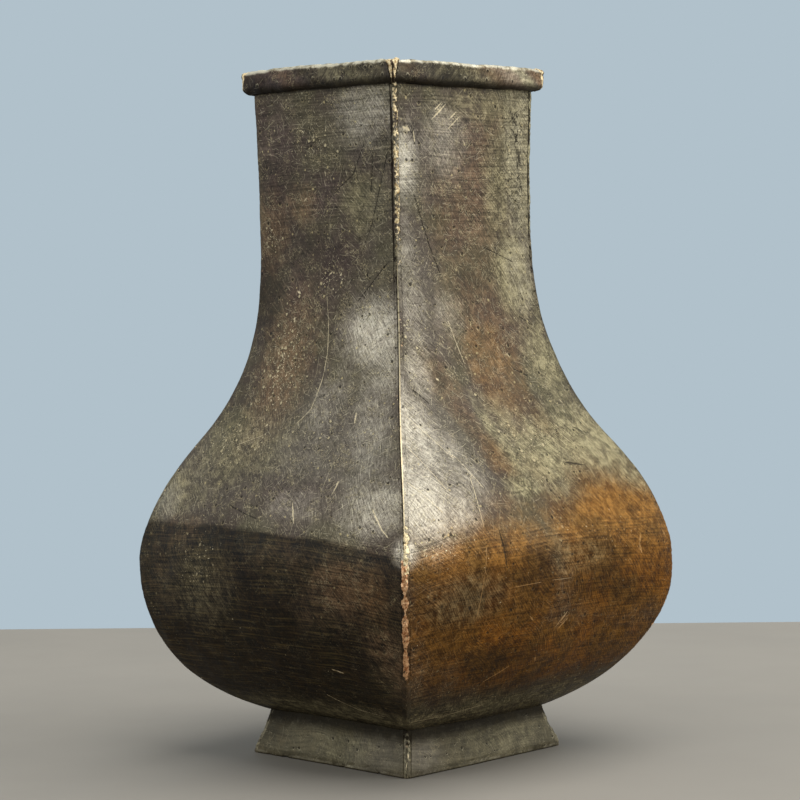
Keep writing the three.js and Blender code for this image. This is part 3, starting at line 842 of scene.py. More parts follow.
def make_lip(side):
    """The section carried from one setback to the other. It moves out by waves of 14, 5 and 2 mm, less
    nicks in the top edge, where one more wave passes 1.1."""
    x = (BAR_HALF - SETBACK) * np.linspace(-1, 1, BAR_STEPS)[:, None]
    place = turned(joined(x, -BAR_HALF, BAR_Z), side)
    wave = layers_of_waves(place, (0.11, 14, 81), (0.07, 5, 82), (0.03, 2, 83))
    nicks = np.clip(random_waves(place, 4.5, 84) - 1.1, 0, 1) * 0.40 * TOP_EDGE
    # The under mark darkens the underside of the bar as painted shade.
    marks = {"edge": TOP_EDGE, "under": fade(BAR_DEPTH, 3.2, 0.2),
             "back": fade(BAR_HALF, LIP_BACK + 1.0, LIP_BACK + 0.1)}
    for kind, middle, half, strength in BAR_PATCHES[SIDES[side]]:
        far = (x - middle + 1.6 * (BAR_Z - HEIGHT + 3)) / half
        marks[kind] = np.maximum(marks.get(kind, 0), strength * np.exp(-PATCH_FALL * far**2))
    rings = lip_rings(side, x, -BAR_HALF, wave - nicks, (0, -1))
    name = SIDES[side]
    return make_piece(f"{name}_lip_bar", f"lip_{name}", rings, x + side * SIDE_STEP,
                      LIP_START + BAR_RUN, marks)


lips = [make_lip(side) for side in range(4)]
print("quads in a lip bar:", len(lips[0].data.polygons))

# %% [markdown]
# The wedges are the same braze as the seams, cast into the V between two bars. The bar's outline is carried
# round the corner on the same hyperbola as the bead, and a coarse noise makes it as lumpy as a casting.

# %% The wedges at the corners of the lip
WEDGE_STEPS, WEDGE_ROUNDING = 25, 0.9


def make_wedge(side):
    """The section carried round the corner: for u across the wedge, x = half - (sqrt(u^2 + r^2) - u) / 2 and
    y = -half + (sqrt(u^2 + r^2) + u) / 2. It moves out by coarse waves, and most halfway to the bars."""
    u = (SETBACK - 0.05) * np.linspace(-1, 1, WEDGE_STEPS)[:, None]
    root = np.sqrt(u**2 + WEDGE_ROUNDING**2)
    x, y = BAR_HALF - (root - u) / 2, -BAR_HALF + (root + u) / 2
    wave = layers_of_waves(turned(joined(x, y, BAR_Z), side), (0.13, 2.4, 91), (0.07, 1.2, 92), (0.1, 6, 93))
    beside = np.abs(np.linspace(-1, 1, WEDGE_STEPS))[:, None] + 0 * BAR_Z
    wave += 0.22 * bell(beside - 0.55, 0.25) - 0.16
    ridges, clefts = bell(beside - 0.55, 0.22), bell(beside - 0.93, 0.09) + bell(beside, 0.14)
    # The lower part of the wedge, under the nose of the lip, is darkened as painted shade through the crack
    # mark.
    under = fade(BAR_DEPTH, 2.5, 0.2)
    marks = {"cream": 0.35 + 0.75 * ridges + 0.5 * TOP_EDGE, "rust": 0.7 - 0.5 * TOP_EDGE,
             "gold": 0.3 * ridges, "crack_and_shade": 0.1 + 0.7 * under + 0.6 * clefts - 0.3 * TOP_EDGE}
    rings = lip_rings(side, x, y, wave, (0.7, -0.7))
    name = CORNERS[side]
    return make_piece(f"{name}_lip_braze", f"lip_wedge_{name}", rings,
                      u + side * SIDE_STEP + BRAZE_STEP, LIP_START + BAR_RUN, marks)


wedges = [make_wedge(side) for side in range(4)]
print("wedges:", len(wedges))

# %% [markdown]
# The foot is four straight panels, splayed like a plinth. They are plates of the same kind as the walls,
# with a rounded knee above an upright band, and an edge at the table that years of standing have rubbed
# round and chipped. Their section is a straight splay and a straight band, blended over the knee.

# %% The foot
TABLE_HALF, BAND, KNEE = CREASE_HALF + 3.9, 2.3, 0.9
FOOT_PATCH_HEIGHT = 7
FOOT_PATCHES = {
    "front": (("soot", -30, 9, 10, 0.45), ("green", 6, 7, 14, 0.3), ("ash", 22, 6, 14, 0.6)),
    "right": (("green", 8, 8, 20, 0.3), ("ash", -28, 6, 8, 0.7), ("soot", 0, 9, 22, 0.36)),
    "back": (("ash", 10, 6, 20, 0.6),),
    "left": (("green", -8, 8, 16, 0.6), ("ash", 24, 6, 10, 0.6)),
}


def foot_line(count):
    """Half side and height of the foot's outside. The straight splay is the band less a gap that grows with
    the height, and the two meet as band - (gap + sqrt(gap^2 + knee^2)) / 2. The splay is a little hollow,
    and the edge at the table is rubbed round."""
    z = np.linspace(0, FOOT_HEIGHT, count)
    share = (z - BAND) / (FOOT_HEIGHT - BAND)
    gap = share * (TABLE_HALF - CREASE_HALF)
    half = TABLE_HALF - (gap + np.sqrt(gap**2 + KNEE**2)) / 2 + 0.25 * fade(z, 8, 0)
    half -= 0.3 * np.sin(np.pi * np.clip(share, 0, 1)) + 0.3 * np.clip(1 - z / 0.5, 0, 1) ** 2
    return joined(half, z)


FOOT_LINE, FINE_FOOT_LINE = foot_line(56), foot_line(44)
FOOT_RUN = arc_length(FOOT_LINE)[:, None]


def make_foot(side):
    """A plate on the foot's line, moved out by waves of 18 and 6 mm, and chipped at the table where one
    more wave passes 1."""
    across = (FOOT_LINE[:, :1] - GROOVE_WIDTH) * RING
    face, end = across[:, :FACE_COLUMNS], FOOT_RUN[-1]
    place = turned(face_points(FOOT_LINE, FOOT_LINE, face), side)
    relief = layers_of_waves(place, (0.09, 18, 101), (0.04, 6, 102))
    chips = np.clip(random_waves(place, 3.4, 103) - 1.0, 0, 1) * 0.45 * np.clip(1 - FOOT_RUN / 2.2, 0, 1)
    relief = relief * fade(FOOT_RUN, 0, 2) * fade(end - FOOT_RUN, 0, 2) - chips
    rings = turned(plate_rings(FOOT_LINE, FOOT_LINE, relief, np.zeros((len(FOOT_LINE), 2))), side)
    # The under mark darkens the foot where it stands on the table, and the crease mark its top under the
    # belly, both as painted shade.
    marks = {"edge": 0.35 * bell(FOOT_RUN - 0.8, 0.7), "under": fade(FOOT_RUN, 0.9, 0),
             "crease": 0.9 * fade(FOOT_RUN, end - 7, end - 1)}
    for kind, x, height, half, strength in FOOT_PATCHES[SIDES[side]]:
        far = ellipse(face, FOOT_RUN, x, height, half, FOOT_PATCH_HEIGHT)
        marks[kind] = patch(strength, far)
    marks = {mark: on_face(values) for mark, values in marks.items()} | {"back": BEHIND}
    name = SIDES[side]
    return make_piece(f"{name}_foot_panel", f"foot_{name}", rings, across + side * SIDE_STEP,
                      FOOT_START + FOOT_RUN, marks)


feet = [make_foot(side) for side in range(4)]
print("quads in a foot panel:", len(feet[0].data.polygons))

# %% [markdown]
# Braze also closes the corners of the foot. It was filed nearly flush there, so its lumps are low, and it
# took the same grey green as the panels. Only its ridge is worn pale, above the upright band.

# %% The seams of the foot
def make_foot_seam(side):
    """A bead on the foot's line, with low lumps of 2 mm that die out at the table."""
    run = arc_length(FINE_FOOT_LINE)
    line = joined(run, 7, side * 40)
    run = run[:, None]

    def waves(length, seed):
        return random_waves(line, length, seed)[:, None]

    lumps = (0.03 + 0.05 * waves(2.0, 111)) * fade(run, 0, 1.5) + 0 * BEAD
    width = GROOVE_WIDTH - 0.05 + 0.02 * waves(2.4, 112) + np.zeros((1, 2))
    middle = BEAD + 0.14 * waves(4, 114)
    ridge = (0.75 + 0.3 * waves(2.2, 115)) * bell(middle, 0.14)
    # The crack mark gets darker towards the top of the seam, under the belly, which is painted shade.
    crack_and_shade = 0.1 + 0.5 * fade(run, 9, 13) + 0.25 * fade(run, 11, 7) * bell(middle - 0.42, 0.14)
    marks = {"ridge": (0.25 + 0.75 * fade(run, 13, 9)) * ridge, "ash": 0.5, "green": 0.4, "crack_and_shade": crack_and_shade}
    return bead_piece(side, "foot_seam", "foot_braze", (FINE_FOOT_LINE, FINE_FOOT_LINE), FOOT_START + run,
                      width, 0.5 + 0.1 * waves(5, 113), lumps, marks)


foot_seams = [make_foot_seam(side) for side in range(4)]
print("foot seams:", len(foot_seams))

# %% [markdown]
# The base plate closes the body from below. It is only seen from underneath and down the mouth, but it
# carries the same handwork. Its skin runs from the middle of the underside out over the edge and back to
# the middle of the top, in square rings, so that there is a fine grid on both faces.

# %% The base plate
BASE_RINGS = 40


def make_base_plate():
    """Squares that grow at the level of the underside and shrink again at the top. Both faces are dished by
    0.25 mm, less waves of 22 and 7 mm, and flat at their edge."""
    low, high = (np.array(corner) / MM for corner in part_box("base_plate"))
    half, bottom, top = high[0] - 0.15, low[2], high[2]
    middle = (bottom + top) / 2
    edge = np.linspace(-1, 1, 61)[:-1]
    square = [joined(*pair) for pair in ((edge, -1), (1, edge), (-edge, 1), (-1, -edge))]
    square = np.concatenate(square) * half
    sizes = np.linspace(0.02, 1, BASE_RINGS)
    sizes = np.concatenate([sizes, [1.0], sizes[::-1]])[:, None]
    level = np.repeat([bottom, middle, top], [BASE_RINGS, 1, BASE_RINGS])[:, None]
    rings = joined(square[:, 0] * sizes, square[:, 1] * sizes, level)
    wave = layers_of_waves(rings, (0.12, 22, 121), (0.04, 7, 122))
    rings[..., 2] += (wave - 0.25) * fade(1 - sizes, 0, 0.25) * np.where(level < middle, -1, 1)
    across, run = rings[..., 0], rings[..., 1] + BASE_START
    return make_piece("base", "base_plate", rings, across, run, {"inside": 1})


base = make_base_plate()
print("quads in the base plate:", len(base.data.polygons))

# %% [markdown]
# The patina is built from nodes. Most of its effects turn up in more than one finish: brush lines, random
# scratches, pits, veins, and edges broken up by noise. Each becomes a node group with named inputs, built
# once. A few small functions make the node trees short to write. All of them work on the tree that NOW
# names. The output of a node is held as a wire, and plain sums and products of wires add the nodes that
# work them out. Sizes are in millimetres, on the surface map or on Object coordinates brought to
# millimetres.

# %% Small tools for node trees
NOW = SimpleNamespace(tree=None)


class Wire:
    """An output of a node in the tree that is being built."""

    def __init__(self, node, output=0):
        self.node, self.socket = node, node.outputs[output]

    def __getitem__(self, output):
        return Wire(self.node, output)

    def __add__(self, other):
        return maths("ADD", self, other)

    def __sub__(self, other):
        return maths("SUBTRACT", self, other)

    def __rsub__(self, other):
        return maths("SUBTRACT", other, self)

    def __mul__(self, other):
        return maths("MULTIPLY", self, other)

    def __truediv__(self, other):
        return maths("DIVIDE", self, other)

    def __rtruediv__(self, other):
        return maths("DIVIDE", other, self)

    __radd__, __rmul__ = __add__, __mul__


def feed(socket, value):
    """Links a wire to a socket, or sets the socket to a plain value."""
    if isinstance(value, Wire):
        NOW.tree.links.new(value.socket, socket)
    else:
        socket.default_value = value


def add(kind, values=None, output=0, **settings):
    """A new node with its settings and its inputs, by name or by number. Returns one of its outputs."""
    node = NOW.tree.nodes.new(kind)
    for key, value in settings.items():
        setattr(node, key, value)
    for key, value in (values or {}).items():
        feed(node.inputs[key], value)
    return Wire(node, output)


def maths(operation, *values, clamp=False):
    return add("ShaderNodeMath", dict(enumerate(values)), operation=operation, use_clamp=clamp)


def changed(value, factor, plus, clamp=False):
    """A value times a factor, plus a constant, in one node."""
    return maths("MULTIPLY_ADD", value, factor, plus, clamp=clamp)


def largest(first, *others):
    for other in others:
        first = maths("MAXIMUM", first, other)
    return first


def vectors(operation, first, second):
    return add("ShaderNodeVectorMath", {0: first, 1: second}, operation=operation)


def scaled(vector, scale):
    return add("ShaderNodeVectorMath", {0: vector, "Scale": scale}, operation="SCALE")


def split(vector):
    return add("ShaderNodeSeparateXYZ", {"Vector": vector})


def join(x, y, z=0.0):
    return add("ShaderNodeCombineXYZ", {"X": x, "Y": y, "Z": z})


def rotated(vector, angle):
    return add("ShaderNodeVectorRotate", {"Vector": vector, "Angle": angle}, rotation_type="Z_AXIS")


def noise(vector, size, detail=3.0, rough=0.55):
    values = {"Vector": vector, "Scale": 1 / size, "Detail": detail, "Roughness": rough}
    return add("ShaderNodeTexNoise", values, "Fac")


def about(value, size):
    """A noise value brought to swing about 0, by a size."""
    return (value - 0.5) * size


def soft_step(value, start, end):
    """0 where the value is at the start or before it, 1 from the end on. The start may be the higher one."""
    values = {"Value": value, "From Min": start, "From Max": end}
    return add("ShaderNodeMapRange", values, interpolation_type="SMOOTHSTEP")


def paint(red, green, blue):
    """A colour as it looks on a screen, from 0 to 255, turned into the linear numbers that a shader takes."""
    share = np.array([red, green, blue]) / 255
    linear = np.where(share <= 0.04045, share / 12.92, ((share + 0.055) / 1.055) ** 2.4)
    return (*map(float, linear), 1.0)


def blend(share, first, second, way="MIX"):
    """A share of the second colour over the first. A colour may be a wire, or as it looks on a screen."""
    first, second = (colour if isinstance(colour, Wire) else paint(*colour) for colour in (first, second))
    return add("ShaderNodeMix", {0: share, 6: first, 7: second}, 2, data_type="RGBA", blend_type=way)


def coats(colour, *layers):
    """Layers over a colour, from the lowest up. A layer is the share that it covers and its own colour."""
    for share, tint in layers:
        colour = blend(share, colour, tint)
    return colour


def mark(name):
    return add("ShaderNodeAttribute", output="Fac", attribute_name=name)


def new_group(name, inputs, outputs):
    """An empty node group from the names of its inputs and outputs. Surface and Place are vectors."""
    tree = NOW.tree = bpy.data.node_groups.new(name, "ShaderNodeTree")
    for way, labels in (("INPUT", inputs), ("OUTPUT", outputs)):
        for label in labels.split():
            kind = "NodeSocketVector" if label in ("Surface", "Place") else "NodeSocketFloat"
            tree.interface.new_socket(label, in_out=way, socket_type=kind)
    return tree, Wire(tree.nodes.new("NodeGroupInput")), tree.nodes.new("NodeGroupOutput").inputs


def use_group(group, **values):
    return add("ShaderNodeGroup", values, node_tree=group)


print("copper brown as linear numbers:", [round(c, 3) for c in paint(96, 88, 62)])

# %% [markdown]
# Brush lines are what is left of filing and scouring: fine lines across the face, that wander and break
# off. A noise drawn out many times longer than it is high gives them. The lines must not run dead level,
# so a slow noise first shifts the map up and down, which makes whole patches of lines slope together.

# %% The brush lines
def make_brush_lines():
    tree, given, result = new_group("brush lines", "Surface Pitch Stretch Wander Angle", "Lines")
    turned_map = rotated(given["Surface"], given["Angle"])
    shift = (noise(turned_map, 34, 1) - 0.5) * given["Wander"]
    parts = split(turned_map)
    level = (parts["Y"] + shift) / given["Pitch"]
    along = parts["X"] / (given["Pitch"] * given["Stretch"])
    feed(result["Lines"], noise(join(along, level), 1.0, 3, 0.6))
    return tree


BRUSH_LINES = make_brush_lines()
print("group:", BRUSH_LINES.name)

# %% [markdown]
# A random scratch is a short straight line, thin and tapering. A cell texture gives one place in each cell
# of a rough grid and a random colour with it. The colour turns the scratch and sets its length, and a third
# part of it decides whether the cell has one at all. This is far cheaper than a thousand thin meshes.

# %% The random scratches
def scattered(given, across_shift, along_shift, bend):
    """One random place to each cell of a grid, shifted by the seed and bent out of line by a noise. Returns
    the map in cells, the cell texture and the three parts of its random colour."""
    shift = join(given["Seed"] * across_shift, given["Seed"] * along_shift)
    place = vectors("ADD", vectors("ADD", given["Surface"], shift), bend)
    cells = scaled(place, 1.0 / given["Spacing"])
    cell = add("ShaderNodeTexVoronoi", {"Vector": cells, "Scale": 1.0}, voronoi_dimensions="2D")
    return cells, cell, split(cell["Color"])


def make_scratches():
    tree, given, result = new_group("scratches", "Surface Spacing Length Width Share Seed", "Mask")
    cells, cell, chance = scattered(given, 13.7, 7.3, noise(given["Surface"], 4, 2, 0.6)["Color"])
    away = scaled(vectors("SUBTRACT", cells, cell["Position"]), given["Spacing"])
    parts = split(rotated(away, chance["X"] * math.pi))
    length = given["Length"] * (chance["Y"] + 0.25)
    beside = maths("SUBTRACT", 1.0, maths("ABSOLUTE", parts["X"]) / given["Width"], clamp=True)
    beyond = maths("POWER", maths("ABSOLUTE", parts["Y"]) / length, 2.0)
    chosen = maths("LESS_THAN", chance["Z"], given["Share"])
    feed(result["Mask"], beside * (maths("SUBTRACT", 1.0, beyond, clamp=True) * chosen))
    return tree


SCRATCHES = make_scratches()
print("group:", SCRATCHES.name)

# %% [markdown]
# Pits, specks and dabs of crust are round, of mixed sizes, and crowd in some places. The same cell texture
# gives them, this time through the distance to the nearest place. The second group here breaks up the soft
# edge of a patch with coarse and fine noise, and the third draws veins, where a noise passes through its
# middle value.

# %% Pits, broken edges and veins
def make_pits():
    tree, given, result = new_group("pits", "Surface Spacing Radius Share Seed", "Mask Rim")
    bend = scaled(noise(given["Surface"], 0.7, 1, 0.5)["Color"], 0.7)
    cells, cell, chance = scattered(given, 9.1, 5.9, bend)
    radius = given["Radius"] * (maths("POWER", chance["Y"], 2.0) + 0.3)
    far = cell["Distance"] * given["Spacing"] / radius
    chosen = maths("LESS_THAN", chance["X"], given["Share"])
    disc = maths("MAXIMUM", (1.0 - far) * 2.5, 0.0)
    feed(result["Mask"], maths("MINIMUM", disc, 1.0) * chosen)
    # The rim is a ring on the lower side of each pit or dab; the finishes use it as a painted highlight round
    # pits and a painted shadow under crust.
    below = split(vectors("SUBTRACT", cells, cell["Position"]))["Y"]
    ring = soft_step(maths("ABSOLUTE", far - 1.25), 0.4, 0.1) * chosen
    feed(result["Rim"], ring * maths("LESS_THAN", below, 0.0))
    return tree


def make_broken_edge():
    tree, given, result = new_group("broken edge", "Mask Texture Strength Softness", "Mask")
    rough = given["Mask"] + about(given["Texture"], given["Strength"]) - 0.42
    edge = maths("ADD", rough / (given["Softness"] * 2.0), 0.5, clamp=True)
    strength = soft_step(given["Mask"], 0.02, 0.25) * changed(given["Mask"], 0.65, 0.35, clamp=True)
    feed(result["Mask"], edge * strength)
    return tree


def make_vein_lines():
    tree, given, result = new_group("vein lines", "Place Size Width Seed", "Mask")
    moved = vectors("ADD", scaled(given["Place"], 1.0 / given["Size"]), join(given["Seed"], given["Seed"]))
    line = soft_step(maths("ABSOLUTE", noise(moved, 1, 2, 0.6) - 0.5), given["Width"], 0.0)
    feed(result["Mask"], line * soft_step(noise(moved, 3.4, 1), 0.5, 0.66))
    return tree


PITS, BROKEN_EDGE, VEIN_LINES = make_pits(), make_broken_edge(), make_vein_lines()
print("groups:", [group.name for group in bpy.data.node_groups])

# %% [markdown]
# The finish of the walls goes on in the order in which it came on the real vase: brown oxide first, then
# ash, plum, rust, gold and verdigris in patches, soot in the hollows, and metal rubbed bare by hands. The
# soot layer also paints shade on the underside of the belly and under the lip, and the bare layer also
# paints highlights near the corner between the front and the right side. Dark cracks and pale veins with
# painted shadows run over these, with cream flecks in clusters. Pits, specks, dabs of crust and scratches
# come last, the pits with a painted highlight on their lower rim and the dabs with a painted shadow under
# them. Bare metal is a metal to the shader, while oxide and verdigris only partly are, so that they keep
# their own colour in any light. Roughness and height follow the same masks.

# %% The layers of the patina
# The dark of dirt in pits, cracks and scratches, also used for painted shadows under veins and dabs of crust,
# and for painted shade under the lip and on the foot.
DIRT_AND_SHADE = (30, 24, 15)
GROUND = ((90, 83, 63), (78, 67, 57))


def start_material(name):
    """A material with a Principled shader. Returns it, the shader's inputs and two kinds of coordinates."""
    material = bpy.data.materials.new(name)
    material.use_nodes = True
    NOW.tree = material.node_tree
    surface = add("ShaderNodeUVMap", uv_map="surface")
    place = scaled(add("ShaderNodeTexCoord", output="Object"), 1 / MM)
    return material, NOW.tree.nodes["Principled BSDF"].inputs, surface, place


def broken(mask, texture, strength, softness):
    return use_group(BROKEN_EDGE, Mask=mask, Texture=texture, Strength=strength, Softness=softness)


def patina(surface, place, brown, olive):
    """The layers of the patina over two ground colours. Returns the colour, and the noises and masks."""
    on = SimpleNamespace(
        slow=noise(place, 17, 3), patchy=noise(place, 8, 4, 0.6), mid=noise(place, 3.4, 4, 0.65),
        fine=noise(place, 1.0, 3, 0.7), dust=noise(place, 0.45, 2, 0.7),
        strokes=use_group(BRUSH_LINES, Surface=surface, Pitch=0.44, Stretch=9.0, Wander=16.0, Angle=0.9),
        cross=use_group(BRUSH_LINES, Surface=surface, Pitch=0.4, Stretch=8.0, Wander=16.0, Angle=2.3))
    small = 0.5 + about(on.mid, 0.7) + about(on.strokes, 0.6)
    on.ash = broken(mark("ash"), on.patchy, 1.4, 0.6)
    on.plum = broken(mark("plum"), on.patchy, 1.6, 0.5)
    on.rust = broken(mark("rust"), small, 1.8, 0.6)
    on.gold = broken(mark("gold"), on.patchy, 1.3, 0.45)
    on.green = broken(mark("green"), small, 2.2, 0.5)
    on.soot = broken(mark("soot"), on.patchy, 0.8, 0.4)
    on.bare = broken(mark("bare"), on.patchy + about(on.strokes, 1.0) + about(on.cross, 0.8), 1.2, 0.55)
    on.flecked = mark("flecked")
    on.soot = on.soot * changed(largest(on.green, on.rust), -0.5, 1.0)
    colour = blend(soft_step(on.slow, 0.38, 0.62), brown, olive)
    colour = blend(soft_step(on.mid, 0.5, 0.7) * 0.35, colour, (118, 107, 84))
    above = soft_step(split(place)["Z"], 58, 78)
    gold = blend(above, (90, 53, 12), (112, 72, 22)), blend(above, (132, 84, 24), (158, 112, 52))
    # The soot layer is partly painted shade and the bare layer partly painted highlights.
    layers = ((on.ash * 0.85, (103, 95, 84), (121, 113, 100)), (on.plum * 0.8, (66, 53, 49), (92, 77, 71)),
              (on.rust * 0.85, (98, 76, 54), (138, 110, 82)), (on.gold * 0.96, *gold),
              (on.gold * soft_step(on.slow, 0.44, 0.6) * 0.5, (60, 44, 16), (94, 72, 34)),
              (on.green * 0.85, (124, 115, 86), (176, 166, 128)), (on.soot * 0.96, (15, 9, 3), (36, 25, 10)),
              (on.bare * 0.85, (156, 146, 129), (184, 174, 155)))
    tints = ((share, blend(soft_step(small, 0.37, 0.63), low, high)) for share, low, high in layers)
    return coats(colour, *tints), on


def weather(colour, place, on, amount=1.0):
    """Dark cracks, pale veins and clusters of cream flecks over a colour. Returns the colour and the height.
    A vein has a shadow, which is the same vein a little lower on the vase."""
    cracks = use_group(VEIN_LINES, Place=place, Size=3.0, Width=0.035) * changed(on.green, 0.55, 0.4)
    cracks = largest(cracks, use_group(VEIN_LINES, Place=place, Size=6.5, Width=0.03, Seed=9.0) * on.green)
    dim = 0.5 + on.soot * -0.42 + on.gold * -0.32 + on.bare * -0.25
    veins = use_group(VEIN_LINES, Place=place, Size=1.3, Width=0.04, Seed=4.0) * dim
    higher = vectors("ADD", place, (0.1, 0.1, 0.28))
    shadows = use_group(VEIN_LINES, Place=higher, Size=1.3, Width=0.06, Seed=4.0) * dim
    flecks = soft_step(0.5 + about(on.fine, 0.8) + about(on.dust, 0.6) + on.flecked * 0.135, 0.74, 0.78)
    colour = coats(
        colour, (largest(cracks, shadows) * (0.8 * amount), DIRT_AND_SHADE),
        (veins * amount, blend(on.gold, (198, 182, 142), (176, 130, 66))),
        (flecks * (0.85 * amount), (232, 218, 180)))
    return colour, cracks * -0.04 + veins * 0.02 + flecks * 0.05


def shade_by(colour, grain):
    """The colour multiplied by a grain that swings about 1."""
    grain = largest(grain, 0.25)
    return blend(1.0, colour, join(grain, grain, grain), "MULTIPLY")


def placed_cuts(kind, waver, gaps):
    """A sharp line where the signed distance passes 0, roughened by one noise and broken by another."""
    line = maths("SUBTRACT", 1.35, maths("ABSOLUTE", mark(f"{kind}_cut") + waver), clamp=True)
    return line * gaps * soft_step(mark(f"{kind}_near"), 0.3, 0.9)


def finish_shader(material, shader, colour, metal, rough, height):
    """Feeds the shader, whose reflections are held low. The height is in millimetres."""
    shader["Specular IOR Level"].default_value = 0.1
    feed(shader["Base Color"], colour)
    feed(shader["Metallic"], metal)
    feed(shader["Roughness"], rough)
    feed(shader["Normal"], add("ShaderNodeBump", {"Height": height, "Distance": MM}))
    return material


def give(pieces, material):
    """Lays a finish on pieces."""
    for piece in pieces:
        piece.data.materials.append(material)
    print("finish:", material.name, "with", len(material.node_tree.nodes), "nodes")


print("colours under the patina of the walls:", *GROUND)

# %% [markdown]
# The walls get the full set: the layers, the grain of brush strokes in two slanting directions, level file
# marks on the belly and up the neck, random and placed scratches, pits, specks and crust. The numbers were
# set by comparing the render with the picture, patch by patch.

# %% The patinated copper
def make_patinated_copper():
    material, shader, surface, place = start_material("patinated copper")
    colour, on = patina(surface, place, *GROUND)
    level = use_group(BRUSH_LINES, Surface=surface, Pitch=0.62, Stretch=30.0, Wander=3.5)
    up = split(place)["Z"]
    filed = (soft_step(up, 82, 74) + soft_step(up, 150, 190) * 0.6) * changed(on.gold, -0.45, 1.0)
    # Rubbed ash and bare metal; the bare part is partly painted highlight.
    scoured_and_sheen = largest(on.bare, on.ash)
    colour, weathered = weather(colour, place, on)
    grain = 1.0 + about(on.fine, 0.5) + about(on.dust, 1.4) + about(on.cross, 1.0) + about(on.mid, 0.4)
    grain = grain + about(level, 3.0) * (filed + 0.2) + about(on.strokes, 0.9)
    colour = shade_by(colour, grain)
    colour = blend(soft_step(level, 0.52, 0.7) * filed * on.soot * 0.34, colour, (98, 84, 46))
    hair = use_group(SCRATCHES, Surface=surface, Spacing=1.5, Length=1.0, Width=0.12, Share=0.45, Seed=1.0)
    fresh = use_group(SCRATCHES, Surface=surface, Spacing=4.2, Length=3.4, Width=0.09, Share=0.55, Seed=5.0)
    dull = use_group(SCRATCHES, Surface=surface, Spacing=1.9, Length=1.6, Width=0.12, Share=0.4, Seed=9.0)
    gaps = changed(soft_step(on.fine, 0.36, 0.48), 0.6, 0.4)
    waver = about(on.fine, 2.4) + about(on.dust, 2.4)
    bright_cuts, dark_cuts = placed_cuts("bright", waver, gaps), placed_cuts("dark", waver, gaps)
    on_show = 0.62 + scoured_and_sheen * 0.18 + on.soot * -0.46 + on.gold * -0.16
    fresh = largest(fresh, soft_step(on.strokes, 0.63, 0.73) * 0.9)
    bright = largest(largest(hair * 0.8, fresh) * on_show, bright_cuts * 0.9)
    dark = largest(dull * 0.75, soft_step(on.cross, 0.63, 0.73) * 0.6, dark_cuts)
    pits = use_group(PITS, Surface=surface, Spacing=3.0, Radius=0.5, Share=0.24, Seed=2.0)
    specks = use_group(PITS, Surface=surface, Spacing=3.4, Radius=0.38, Share=0.25, Seed=7.0)
    crust = use_group(PITS, Surface=surface, Spacing=1.9, Radius=0.52, Share=on.flecked * 0.36, Seed=11.0)
    # The pale lower rim of each pit is a painted highlight, and the dark rim under each dab of crust is a
    # painted shadow.
    pale = largest(specks, pits["Rim"] * 0.4) * changed(largest(on.soot, on.gold), -0.6, 0.7)
    fresh_metal = blend(on.soot, blend(on.gold, (228, 214, 178), (214, 166, 104)), (142, 114, 66))
    fresh_metal = blend(bright_cuts, fresh_metal, blend(on.gold, (228, 208, 168), (204, 156, 98)))
    inside = mark("inside")
    colour = coats(
        colour, (pits * 0.75, DIRT_AND_SHADE), (dark * 0.9, DIRT_AND_SHADE), (pale, (196, 178, 130)), (crust["Rim"] * 0.6, DIRT_AND_SHADE),
        (crust * changed(on.soot, -0.35, 0.75), blend(on.gold, (206, 190, 150), (168, 124, 66))),
        (bright * 0.85, fresh_metal), (inside, blend(on.mid, (38, 31, 25), (74, 62, 48))))
    shine = largest(on.bare, bright * 0.6)
    metal = (0.32 + on.green * -0.2 + on.soot * -0.28 + shine * 0.45) * (1.0 - inside)
    rough = 0.48 + on.bare * -0.1 + on.green * 0.12 + inside * 0.22 + about(on.mid, 0.4)
    height = level * changed(filed, 0.045, 0.006) + on.strokes * 0.02 + on.fine * 0.03 + pits * -0.1
    height = height + specks * 0.04 + crust * 0.07 + dark * -0.05 + bright * -0.03 + weathered
    return finish_shader(material, shader, colour, metal, rough, height)


give(walls + [base], make_patinated_copper())

# %% [markdown]
# The lip and the foot are the same copper, handled and stood on more. They are greyer and more even, with
# the edges rubbed to a pale line. One function makes both finishes, from their own two main colours and
# the same groups, because only the colours and the amount of wear differ.

